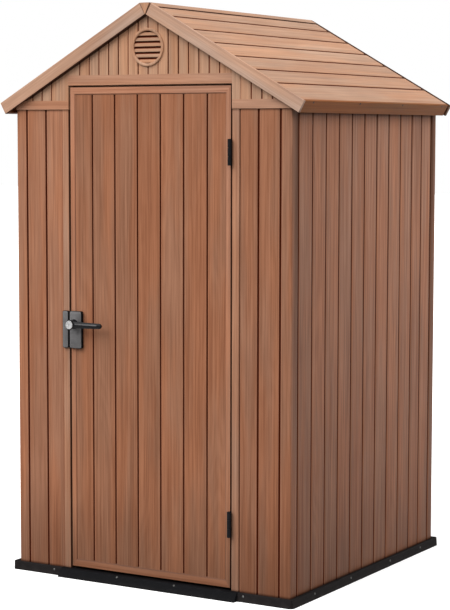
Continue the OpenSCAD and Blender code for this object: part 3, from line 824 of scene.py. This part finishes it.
cap_fold = prism(CAP, cap_half + mirrored(-1, cap_half[:0:-1]), barge_high.y, cap_high.y - BOARD_T)
cap_parts = [grained(cap_fold, CAP, number("ridge cap"), None, cap_painted_shadow)]
key_low = APEX_Z - BOARD_DEEP / COS + 0.2 * MM
key_outline = [(KEY_JOINT[-1] - flat_x, RIDGE_Z), (flat_x - KEY_JOINT[1], RIDGE_Z)]
key_outline += [(KEY_TIP, key_low), (-KEY_TIP, key_low)]
for y in (cap_low.y, cap_high.y - BOARD_T):
    key = bevelled(plate(KEY, key_outline, -y - BOARD_T, -y), KEY_BEVEL)

    def key_painted_shade(u, v, n, y=y):
        """Painted shade in the open joints at its sides."""
        deep = -y - BOARD_T + 1.3 * MM < n < -y - 0.9 * MM
        return 0.95 if deep and v < RIDGE_Z - 0.5 * MM else 0.0

    cap_parts.append(grained(key, KEY, number("keystone"), None, key_painted_shade))
build("ridge_cap_fold", cap_parts, ROOF, "ridge_cap", smooth=50)

BARGE_ROUND, BARGE_END, TOP_DARK = mm(1.6, 0.8, 1.4)
top_s = RIDGE_FLAT / 2 / COS


def barge_start(u, joint):
    """Where a barge board begins at the keystone."""
    return joint + top_s + (top_s - BOARD_DEEP * TAN) * u / BOARD_DEEP


def barge_painted_shade(u, v, n, joint, rear):
    """Painted shade on the underside, in the joint with the keystone, and on the top and the inside of a board at the
    back.
    """
    if u < SUPPORT - BOARD_DEEP or v < barge_start(u, joint) + SEAT:
        return 0.95
    hidden = rear and v < SLOPE_LEN - SUPPORT and (u > -REAR_DROP - TOP_DARK or n < -REAR_T / 2)
    return 0.95 if hidden else 0.0


for side, name in SIDES.items():
    for end, y, out in (("front", barge_low.y, -1), ("back", cap_high.y, 1)):
        node = f"barge_board_{end}_{name}"
        joint = KEY_JOINT[side]
        face = Place((0, y, APEX_Z), (side * SIN, 0, COS), (side * COS, 0, -SIN), (0, out, 0))
        thick, proud, drop = (REAR_T, REAR_PROUD, REAR_DROP) if out > 0 else (BOARD_T, 0, 0)
        outline = rounded([(-BOARD_DEEP, -thick), (proud, -thick), (-drop, 0), (-BOARD_DEEP, 0)], BARGE_ROUND)
        levels = [lambda u, n, more=more: barge_start(u, joint) + more * MM for more in (0, 1.2)]
        board = prism(face, outline, *levels, SLOPE_LEN - BARGE_END, SLOPE_LEN)
        for vert in board.verts:
            vert.co.x = side * min(side * vert.co.x, barge_high.x)
            vert.co.z = min(vert.co.z, RIDGE_Z)
        grained(board, face, number(node), None, lambda u, v, n: barge_painted_shade(u, v, n, joint, out > 0))
        build(f"{node}_trim", [board], BARGE, node, smooth=40)

# Dark slivers on the eave boards, as painted shade where notches cut their top edge.
NOTCH_FIRST, NOTCH_PITCH, NOTCH_COUNT = 49 * MM, 343 * MM, 4
NOTCH_HALF_T, NOTCH_HALF_W, NOTCH_TOP, NOTCH_BOTTOM, NOTCH_BEVEL = mm(0.6, 3.5, -2.5, -9.5, 0.5)
for side, name in SIDES.items():
    place = slope_place(side)
    outline = rounded(rectangle(SLOPE_LEN - BOARD_T, -BOARD_DEEP, SLOPE_LEN, 0), mm(0.8, 0.8, 1.4, 0.8))
    eave = prism(place, outline, barge_high.y + SEAT, rear_end(True, SUPPORT), rear_end())
    # Painted shade on the board's back end, in the slit by the back barge board.
    grained(eave, place, number("eave", name), lambda s, y, n: 1.0 if y > rear_end(True, SUPPORT / 2) else 0.0)
    build(f"eave_board_{name}_trim", [eave], EAVE, f"eave_board_{name}")
    notch_shades = []
    for i in range(NOTCH_COUNT):
        y = FRONT_Y + NOTCH_FIRST + i * NOTCH_PITCH
        low = (SLOPE_LEN - NOTCH_HALF_T, y - NOTCH_HALF_W, NOTCH_BOTTOM)
        notch_shade = box(low, (SLOPE_LEN + NOTCH_HALF_T, y + NOTCH_HALF_W, NOTCH_TOP))
        for vert in notch_shade.verts:
            vert.co = place.at(*vert.co)
        notch_shades.append(bevelled(notch_shade, NOTCH_BEVEL))
    build(f"eave_notch_shades_{name}", notch_shades, NOTCH_SHADE)

# ---------------------------------------------------------------- door leaf
STILE, TOP_RAIL, BOTTOM_RAIL = mm(19, 24.5, 25)  # widths of the leaf's raised border
FIELD_DEEP, FRAME_DEEP, LEAF_INSET, LATCH_BEVEL = mm(2.5, 9, 0.3, 3)
DOOR_GROOVES, DOOR_PITCH, DOOR_SHIFT = 6, 95.1 * MM, -1.5 * MM
CLEAN_END = 2 * MM  # the grooves are clean at the leaf's top and bottom edges
SPINDLE_HOLE = 5.08 * MM
leaf_w, leaf_h, leaf_t = leaf_high.x - leaf_low.x, leaf_high.z - leaf_low.z, leaf_high.y - leaf_low.y
spindle_low, spindle_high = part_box("handle_spindle")
spindle_x, spindle_z = (spindle_low.x + spindle_high.x) / 2, (spindle_low.z + spindle_high.z) / 2
SPINDLE = facing(-1, (spindle_x, leaf_low.y, spindle_z))

door_seams = [DOOR_SHIFT + (k - (DOOR_GROOVES - 1) / 2) * DOOR_PITCH for k in range(DOOR_GROOVES)]
door_boards = Boards("door", door_seams, leaf_t)
field_outline = door_boards.outline(leaf_low.x + LEAF_INSET, leaf_high.x - LEAF_INSET, FIELD_DEEP, LATCH_BEVEL)
field_low, field_high = leaf_low.z + LEAF_INSET, leaf_high.z - LEAF_INSET
leaf = prism(FRONT, field_outline, field_low, field_low + CLEAN_END, field_high - CLEAN_END, field_high)
leaf = drilled(leaf, SPINDLE, SPINDLE_HOLE, -2 * leaf_t, leaf_t)


def door_groove(u, v, n):
    at_end = v < field_low + CLEAN_END / 2 or v > field_high - CLEAN_END / 2
    return 0.0 if at_end else door_boards.groove(u, v, n)


def frame_strip(name, origin, across, along, width, length, end_low, end_high):
    """A mitred strip of the leaf's raised border; across points inwards from the leaf's edge."""
    place = Place(origin, across, along, (0, -1, 0))
    inner = [*shifted(width, 0, (-1.2, 0), (-0.4, -0.8)), (width + 3 * MM, -FIELD_DEEP - 0.3 * MM)]
    inner.append((width + 3 * MM, -FRAME_DEEP))
    outline = rounded([(0, -FRAME_DEEP), (0, 0), *inner], [0, 1.8 * MM, 0, 0, 0, 0], 4)
    strip = prism(place, outline, lambda u, n: u * (end_low / width), lambda u, n: length - u * (end_high / width))
    if name == "left":
        strip = drilled(strip, SPINDLE, SPINDLE_HOLE, -2 * leaf_t, leaf_t)

    # Painted shade: the leaf's outer edge, by the gap round it, and the strip's inner edge, at its step down to the
    # field.
    def painted_shade(u, v, n):
        return 0.9 if u < 0.8 * MM else 0.45 if u > width - 0.5 * MM else 0.0

    return grained(strip, place, number("door frame", name), None, painted_shade)


corner_left, corner_right = leaf_low, (leaf_high.x, leaf_low.y, leaf_low.z)
corner_top = (leaf_low.x, leaf_low.y, leaf_high.z)
border = [
    frame_strip("left", corner_left, X, Z, STILE, leaf_h, BOTTOM_RAIL, TOP_RAIL),
    frame_strip("right", corner_right, (-1, 0, 0), Z, STILE, leaf_h, BOTTOM_RAIL, TOP_RAIL),
    frame_strip("bottom", corner_left, Z, X, BOTTOM_RAIL, leaf_w, STILE, STILE),
    frame_strip("top", corner_top, (0, 0, -1), X, TOP_RAIL, leaf_w, STILE, STILE),
]
grained(leaf, FRONT, door_boards.number, door_groove)
build("door_leaf_boards", [leaf], DOOR, "door_leaf", "door")
build("door_leaf_border", border, BORDER, None, "door")

# ---------------------------------------------------------------- floor panel and ramp
floor_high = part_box("floor_panel")[1]
FLOOR_Z = floor_high.z
FOOT = floor_high.x - SIDE_X  # how far the skirt's foot stands out from the walls
LIP, CHAMFER, SMALL_CHAMFER, SKIRT_INSIDE = mm(16, 10, 1.2, -12)


def skirt_ring(offset, z):
    """The skirt's outline at one height: a rectangle whose corners are cut."""
    x, y = SIDE_X + offset, BACK_Y + offset
    cut = max(SMALL_CHAMFER, CHAMFER - 2 * (FOOT - offset))
    right = [(x - cut, -y), (x, cut - y), (x, y - cut), (x - cut, y)]
    return [(a, b, z) for a, b in right + mirrored(-1, right[::-1])]


rise = (FOOT - LIP) / FLOOR_Z
profile = [(FOOT, 0.0), (FOOT - 0.2 * MM, 0.6 * MM), (FOOT - 2.2 * MM * rise, 2.2 * MM)]
profile += [(LIP + 1.5 * MM * rise, FLOOR_Z - 1.5 * MM), (LIP, FLOOR_Z - SUPPORT), (SUPPORT, FLOOR_Z - SUPPORT)]
profile += [(0.0, FLOOR_Z), (SKIRT_INSIDE, FLOOR_Z), (SKIRT_INSIDE, 0.0)]
skirt = lofted([skirt_ring(offset, z) for offset, z in profile], closed=True)
# raised rim along the top of the skirt, which stops at the ramp
RIM = shifted(LIP, FLOOR_Z, (0, -3), (-0.4, 3), (-1, 3.8), (-1.8, 4.1), (-3, 3.9), (-3.6, 3.2), (-4, -3))
ramp_low, ramp_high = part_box("threshold_ramp")
lines = []
for offset, z in RIM:
    path = skirt_ring(offset, z)
    lines.append([(ramp_high.x + FACE_FIT, *path[0][1:]), *path, (-ramp_high.x - FACE_FIT, *path[0][1:])])
rim = lofted([list(ring) for ring in zip(*lines)])

DECK_STEP = 84 * MM  # about the size of the floor's square pads
PAD_AT, PAD_DEEP = mm(0, 2.5, 4, 4.6), mm(1.6, 1.6, 0, 0)


def deck_line(half):
    """Points across the floor, as (place, depth of the groove between two pads)."""
    seams = even(-half, half, round(2 * half / DECK_STEP))
    found = {-half, half} | {s + way * at for s in seams for at in PAD_AT for way in (-1, 1)}
    return [(at, max(float(np.interp(abs(at - s), PAD_AT, PAD_DEEP)) for s in seams)) for at in sorted(found)]


deck_x, deck_y = SIDE_X + SKIRT_INSIDE, BACK_Y + SKIRT_INSIDE
deck = bmesh.new()
grid = [[deck.verts.new((x, y, FLOOR_Z - max(a, b))) for y, b in deck_line(deck_y)] for x, a in deck_line(deck_x)]
for row, after in zip(grid, grid[1:]):
    for j in range(len(row) - 1):
        deck.faces.new((row[j], after[j], after[j + 1], row[j + 1]))
under = box((-deck_x, -deck_y, 0), (deck_x, deck_y, FLOOR_Z - 2 * MM))
build("floor_panel_tray", [skirt, rim, deck, under], BASE, "floor_panel", smooth=40)

RAMP_T, RIB_DEEP, RIBS = 3 * MM, 0.9 * MM, 7
LAST_RIB = 0.25  # share of a rib's pitch left above the first one
RIB = ((0.02, 0), (0.10, 0), (0.16, 1), (0.42, 1), (0.48, 0), (0.56, 0))  # shares of its pitch and of its depth
top, foot = Vector((FRONT_Y - LIP - RAMP_T, ramp_high.z)), Vector((ramp_low.y, RAMP_T))
down = foot - top
normal = Vector((-down.y, down.x)).normalized() * (-1 if down.x < 0 else 1)
slope_points = [
    tuple(top + down * ((i + share + LAST_RIB) / (RIBS + LAST_RIB)) - normal * (RIB_DEEP * deep))
    for i in range(RIBS)
    for share, deep in RIB
]
ramp_outline = [
    (ramp_low.y, 0.0),
    (FRONT_Y - FOOT - SEAT, 0.0),
    (FRONT_Y - LIP - SEAT, FLOOR_Z + SEAT),
    (ramp_high.y, FLOOR_Z + SEAT),
    (ramp_high.y, ramp_high.z),
    (top.x + 1.0 * MM, top.y),
    *slope_points,
    *shifted(foot.x, foot.y, (1, 0.5), (0, -1)),
]
ramp = prism(Place((0, 0, 0), Y, X, Z), ramp_outline, ramp_low.x, ramp_high.x)
build("threshold_ramp_ribbed", [ramp], RAMP, "threshold_ramp", smooth=30)

# ---------------------------------------------------------------- screws
SCREW_SLOT = ((0.30, 1), (0.24, 0.55), (0, 0.35))  # the recess: shares of the head's radius and height


def screw(place, radius=4 * MM, dome=1.6 * MM):
    """A pan head with a shallow drive recess, standing on a face."""
    profile = [(0, -1 * MM), (radius, -1 * MM), (radius, 0.25 * dome)]
    profile += [(radius * math.cos(a), 0.25 * dome + 0.75 * dome * math.sin(a)) for a in (0.45, 0.9, 1.25)]
    return turned(place, profile + [(radius * r, dome * n) for r, n in SCREW_SLOT], 20, closed=False)


def skirt_screw(at, across, out):
    return screw(Place(at, across, Vector(out).cross(Vector(across)), out))


SKIRT_SCREWS_FRONT = mm(-402, -123.5, 117, 394)
SKIRT_SCREWS_SIDE = mm(148, 422, 742, 1006)
SKIRT_SCREW_Z = 20 * MM
RAMP_SCREW = 0.2  # how far down the ramp its screws are, as a share
skirt_out, skirt_up = Vector((FLOOR_Z, FOOT - LIP)).normalized()
reach = FOOT - (FOOT - LIP) * SKIRT_SCREW_Z / FLOOR_Z
heads = []
for x in SKIRT_SCREWS_FRONT:
    if ramp_low.x < x < ramp_high.x:
        heads.append(skirt_screw((x, *(top + down * RAMP_SCREW)), X, (0, *normal)))
    else:
        heads.append(skirt_screw((x, FRONT_Y - reach, SKIRT_SCREW_Z), X, (0, -skirt_out, skirt_up)))
for side in (-1, 1):
    for y in SKIRT_SCREWS_SIDE:
        at = (side * (SIDE_X + reach), FRONT_Y + y, SKIRT_SCREW_Z)
        heads.append(skirt_screw(at, Y, (side * skirt_out, 0, skirt_up)))
for x in SKIRT_SCREWS_FRONT:
    heads.append(skirt_screw((x, BACK_Y + reach, SKIRT_SCREW_Z), X, (0, skirt_out, skirt_up)))
build("skirt_screws", heads, SCREW, None, smooth=50)

# ---------------------------------------------------------------- hinges
AXIS_IN = 10 * MM  # from the front of a hinge to its axis
HINGE_T, BARREL_R, PIN_R, KNUCKLE_CHAMFER = mm(2, 7, 4, 0.8)
PIN_HOLE = PIN_R + 0.08 * MM
HINGE_SCREW_IN, HINGE_SCREWS = 11 * MM, (0.2, 0.8)  # from the wall's face, and as shares of the hinge's height
axis_x, plate_x, leaf_x = (leaf_high.x + DOORWAY_X) / 2, DOORWAY_X - HINGE_T, leaf_high.x


def knuckle(axis, low, high, radius=BARREL_R, bore=0.0):
    """One barrel of a hinge, bored if the pin runs in it."""
    c = KNUCKLE_CHAMFER
    profile = [(bore, low), (radius - c, low), (radius, low + c), (radius, high - c), (radius - c, high), (bore, high)]
    return turned(axis, profile, 32, closed=bore > 0)


for which in ("upper", "lower"):
    frame_low, frame_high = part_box(f"hinge_frame_{which}")
    hinge_back_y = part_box(f"hinge_door_{which}")[1].y
    axis_y = frame_low.y + AXIS_IN
    arm_y = axis_y + AXIS_IN + FACE_FIT
    axis = Place((axis_x, axis_y, 0), X, Y, Z)
    z, tall = frame_low.z, frame_high.z - frame_low.z
    third = tall / 3
    z1, z2, z3 = z + third, z + 2 * third, z + tall
    frame_parts = [
        knuckle(axis, z, z1 - FACE_FIT),
        knuckle(axis, z2 + FACE_FIT, z3),
        knuckle(axis, z, z3, PIN_R),
        box((plate_x, arm_y, z), (DOORWAY_X, frame_high.y, z3), 0.4 * MM),
    ]
    for low in (z, z2 + FACE_FIT):
        frame_parts.append(box((plate_x, axis_y, low), (DOORWAY_X, arm_y + MM, low + third - FACE_FIT), 0.3 * MM))
    arm = box((leaf_x, axis_y, z1), (leaf_x + HINGE_T, arm_y + MM, z2), 0.3 * MM)
    door_parts = [
        knuckle(axis, z1, z2, BARREL_R, PIN_HOLE),
        box((leaf_x, arm_y, z), (leaf_x + HINGE_T, hinge_back_y, z3), 0.4 * MM),
        drilled(arm, axis, PIN_HOLE, z - tall, z3 + tall),
    ]
    for half, parts, body in (("frame", frame_parts, "shed"), ("door", door_parts, "door")):
        node = f"hinge_{half}_{which}"
        build(f"{node}_barrel", parts, COATED, node, body, smooth=40)
    for body, x, out in (("shed", plate_x, -1), ("door", leaf_x + HINGE_T, 1)):
        places = [Place((x, FRONT_Y + HINGE_SCREW_IN, z + tall * share), Y, Z, (out, 0, 0)) for share in HINGE_SCREWS]
        heads = [screw(place, 3.4 * MM, 0.4 * MM) for place in places]
        build(f"hinge_screws_{which}_{body}", heads, SCREW, None, body, smooth=50)

# ---------------------------------------------------------------- handle set
FACE_IN = 1.3 * MM  # a charcoal face lies that far inside the edge of each plate, whose black sides and rim are painted shade
FACE_T, FACE_PROUD, PLATE_ROUND, PLATE_BEVEL, PLATE_T = mm(2, 0.6, 6, 1.3, 12)


def rounded_plate(low, high, out, inset=0.0, start=0.0, short=0.0):
    """A plate with rounded corners and bevelled edges; its back is on the face away from out.

    It is inset from its box all round, starts that far from its back and stops short of its front.
    """
    place = facing(out, (0, high.y if out < 0 else low.y, 0))
    outline = rounded(rectangle(low.x, low.z, high.x, high.z), PLATE_ROUND, 5)
    thick = high.y - low.y - short
    bevel = min(PLATE_BEVEL, (thick - start) / 2)
    x, z, half_w, half_h = (low.x + high.x) / 2, (low.z + high.z) / 2, (high.x - low.x) / 2, (high.z - low.z) / 2
    rings = []
    for inward, n in ((0, start), (0, thick - bevel), (0.4 * bevel, thick - 0.4 * bevel), (bevel, thick)):
        wide, high_up = 1 - (inward + inset) / half_w, 1 - (inward + inset) / half_h
        rings.append([place.at(x + (u - x) * wide, z + (v - z) * high_up, n) for u, v in outline])
    return lofted(rings)


def plate_and_face(node, low, high, out, body, place=None, extra=()):
    """A charcoal face on a plate whose black sides and rim are painted shade, both bored for the spindle where place is
    given.
    """
    thick = high.y - low.y
    parts = [rounded_plate(low, high, out, short=FACE_PROUD), rounded_plate(low, high, out, FACE_IN, thick - FACE_T)]
    if place:
        parts = [drilled(part, place, SPINDLE_HOLE, -thick, 3 * thick) for part in parts]
    # Painted shade: the plate's sides and rim are black.
    build(f"{node}_cover", parts[:1], LEVER, node, body, smooth=35)
    build(f"{node}_face", [parts[1], *extra], CHARCOAL, None, body, smooth=35)


plate_and_face("keeper_plate", *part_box("keeper_plate"), -1, "shed")

ROSE_R, ROSE_T, HUB_R, HUB_OUT, LOCK_T, LOCK_R = mm(19, 5, 18, 50, 3, 15)
LEVER_LEN, LEVER_T, LEVER_ROOT, LEVER_TIP, RIDGE, DROOP = mm(132, 14, 25, 19, 4.2, 5)
DROOP_FROM = 0.55  # share of the lever's length
ROUND_SHARE = LEVER_TIP / 2 / LEVER_LEN  # share of its length where its tip is rounded
ARM_STEPS, TIP_STEPS = 16, 7
BAND_AT = (0.10, 0.50)  # painted highlight: a lighter band along the upper half of a lever, as shares of half its height
BAND_ENDS = (0.17, 0.91)  # and of its length
BAND_PROUD = 0.3 * MM


def lever_arm(place, end):
    """(arm, painted highlight band on it): ridged sections along the lever, closer together where its tip is rounded.
    """
    shares = [(1 - ROUND_SHARE) * k / ARM_STEPS for k in range(ARM_STEPS + 1)]
    turns = [math.pi / 2 * k / TIP_STEPS for k in range(1, TIP_STEPS + 1)]
    shares += [1 - ROUND_SHARE + ROUND_SHARE * math.sin(turn) for turn in turns]
    arm, band = [], []
    for share in shares:
        x = share * LEVER_LEN
        past = max(0.0, (x - (LEVER_LEN - LEVER_TIP / 2)) / (LEVER_TIP / 2))
        closing = min(1.0, math.sqrt(max(1e-4, 1 - past**2)))
        half = (LEVER_ROOT + (LEVER_TIP - LEVER_ROOT) * share) / 2 * closing
        front = end - 0.4 * MM - DROOP * max(0.0, (share - DROOP_FROM) / (1 - DROOP_FROM)) ** 2
        back = min(end - LEVER_T, front - LEVER_T * 0.5)
        ridge = RIDGE * closing
        face = [(0.97, front - ridge), (0.80, front - 0.62 * ridge), (0.10, front - 0.04 * ridge)]
        rear = [(1.0, front - 1.5 * ridge), (0.92, back + 1.2 * MM), (0.70, back)]
        ring = face + mirrored(-1, face[::-1]) + mirrored(-1, rear) + rear[::-1]
        arm.append([place.at(x, part * half, n) for part, n in ring])
        if BAND_ENDS[0] < share < BAND_ENDS[1]:
            facet = [(part * half, front - (0.04 + 0.58 * (part - 0.10) / 0.70) * ridge) for part in BAND_AT]
            proud = [(facet[0], -MM), (facet[0], BAND_PROUD), (facet[1], BAND_PROUD), (facet[1], -MM)]
            band.append([place.at(x, v, n + up) for (v, n), up in proud])
    return lofted(arm), lofted(band)


def handle_side(face_y, out, plate_node, lever_node):
    """One side of the handle set: a plate with its rose, and a lever on a hub."""
    place = facing(out, (spindle_x, face_y, spindle_z))
    low, high = (corner.copy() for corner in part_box(plate_node))
    if out < 0:
        low.y = high.y - PLATE_T
    else:
        high.y = low.y + PLATE_T
    step = PLATE_T + ROSE_T
    rose = [(SPINDLE_HOLE, PLATE_T - MM), (ROSE_R, PLATE_T - MM)]
    rose += [*shifted(ROSE_R, step, (0, -1.2), (-0.4, -0.4), (-1.2, 0), (-1.8, 0)), (SPINDLE_HOLE, step)]
    plate_and_face(plate_node, low, high, out, "door", place, [turned(place, rose, 56)])
    start, end = step + FACE_FIT, HUB_OUT - LOCK_T
    hub = [(0, start), *shifted(HUB_R, start, (-0.8, 0), (0, 0.8), (0, 1.6), (-2.2, 9))]
    hub += [*shifted(HUB_R, end, (-2.6, -9), (0, -2.6), (0, -1.2), (-0.4, -0.4), (-1.2, 0)), (0, end)]
    arm, band = lever_arm(place, end)
    # Painted highlight: the lighter band along the lever's upper facet.
    build(f"{lever_node}_painted_highlight", [band], LEVER_HIGHLIGHT, None, "handle", smooth=28)
    parts = [turned(place, hub, 56, closed=False), arm]
    build(f"{lever_node}_arm", parts, LEVER, lever_node, "handle", smooth=28)
    return place, end


outer_place, hub_end = handle_side(leaf_low.y, -1, "handle_plate_outer", "lever_outer")
handle_side(leaf_high.y, 1, "handle_plate_inner", "lever_inner")
KEY_HALF_W, KEY_HALF_H = mm(0.8, 4.5)
face = hub_end + LOCK_T - SUPPORT
LOCK_RINGS = ((0, -1), (-0.3, -0.3), (-1, 0), (-4, 0), (-4.4, -0.5), (-5, -0.5), (-5.4, -0.1), (-6, 0))
lock = [(0, hub_end), (LOCK_R, hub_end), *shifted(LOCK_R, face, *LOCK_RINGS), (0, face)]
lock = turned(outer_place, lock, 56, closed=False)
build("lock_cylinder_face", [lock], STEEL, "lock_cylinder", "handle", smooth=35)
# The key slot is a black box flush with the lock's face: painted shade for the hole.
slot_low = (spindle_x - KEY_HALF_W, leaf_low.y - face - 0.05 * MM, spindle_z - KEY_HALF_H)
slot_high = (spindle_x + KEY_HALF_W, leaf_low.y - face + MM, spindle_z + KEY_HALF_H)
build("lock_slot", [box(slot_low, slot_high)], LEVER, None, "handle", smooth=0)
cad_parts["handle_spindle"].data.materials.clear()
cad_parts["handle_spindle"].data.materials.append(STEEL)

# ---------------------------------------------------------------- stage, light and camera
scene = bpy.context.scene
FLOOR_HALF = 40.0
floor = bpy.data.objects.new("stage_floor", bpy.data.meshes.new("stage_floor"))
corners = rectangle(-FLOOR_HALF, -FLOOR_HALF, FLOOR_HALF, FLOOR_HALF)
floor.data.from_pydata([(x, y, 0) for x, y in corners], [], [(0, 1, 2, 3)])
pale = Nodes(bpy.data.materials.new("stage pale"))
pale = pale.finish(Base_Color=colour(0.9, 0.9, 0.9), Roughness=0.9, Emission_Color=WHITE, Emission_Strength=0.45)
floor.data.materials.append(pale)
scene.collection.objects.link(floor)
floor.visible_diffuse = False


def soft_sun(name, towards, strength, spread):
    """A distant soft light, which shines from the direction given."""
    light = bpy.data.lights.new(name, "SUN")
    light.energy, light.angle = strength, math.radians(spread)
    lamp = bpy.data.objects.new(name, light)
    scene.collection.objects.link(lamp)
    lamp.rotation_euler = Vector(towards).to_track_quat("Z", "Y").to_euler()


soft_sun("key", (-0.35, -0.62, 0.70), 2.7, 50)
soft_sun("fill", (0.72, -0.32, 0.70), 1.3, 80)

scene.world = bpy.data.worlds.new("studio")
studio = Nodes(scene.world, "Background")
height = studio.axes(studio.add("TexCoord").outputs["Generated"])["Z"]
inputs = {"Value": height, "From Min": -0.2, "From Max": 0.3, "To Min": 0.15, "To Max": 0.6}
studio.finish(Color=WHITE, Strength=studio.add("MapRange", inputs).outputs["Result"])
seen = studio.add("Background", {"Color": WHITE})  # what the camera sees behind the stage
choose = {0: studio.add("LightPath").outputs["Is Camera Ray"], 1: studio.shader.outputs[0], 2: seen.outputs[0]}
studio.feed(studio.tree.nodes["World Output"].inputs["Surface"], studio.add("MixShader", choose).outputs[0])
scene.view_settings.view_transform = "Standard"

CAMERA_AT = (3.5916, -6.0855, 1.6006)
CAMERA_YAW, CAMERA_PITCH, CAMERA_ROLL = 30.766, -5.180, 0.096
CAMERA_LENS = 111.41
camera = bpy.data.objects.new("camera", bpy.data.cameras.new("camera"))
camera.data.lens = CAMERA_LENS
camera.matrix_world = Matrix.Translation(CAMERA_AT)
for angle, axis in ((CAMERA_YAW, "Z"), (90 + CAMERA_PITCH, "X"), (CAMERA_ROLL, "Z")):
    camera.matrix_world = camera.matrix_world @ Matrix.Rotation(math.radians(angle), 4, axis)
scene.collection.objects.link(camera)
bpy.context.scene.camera = camera
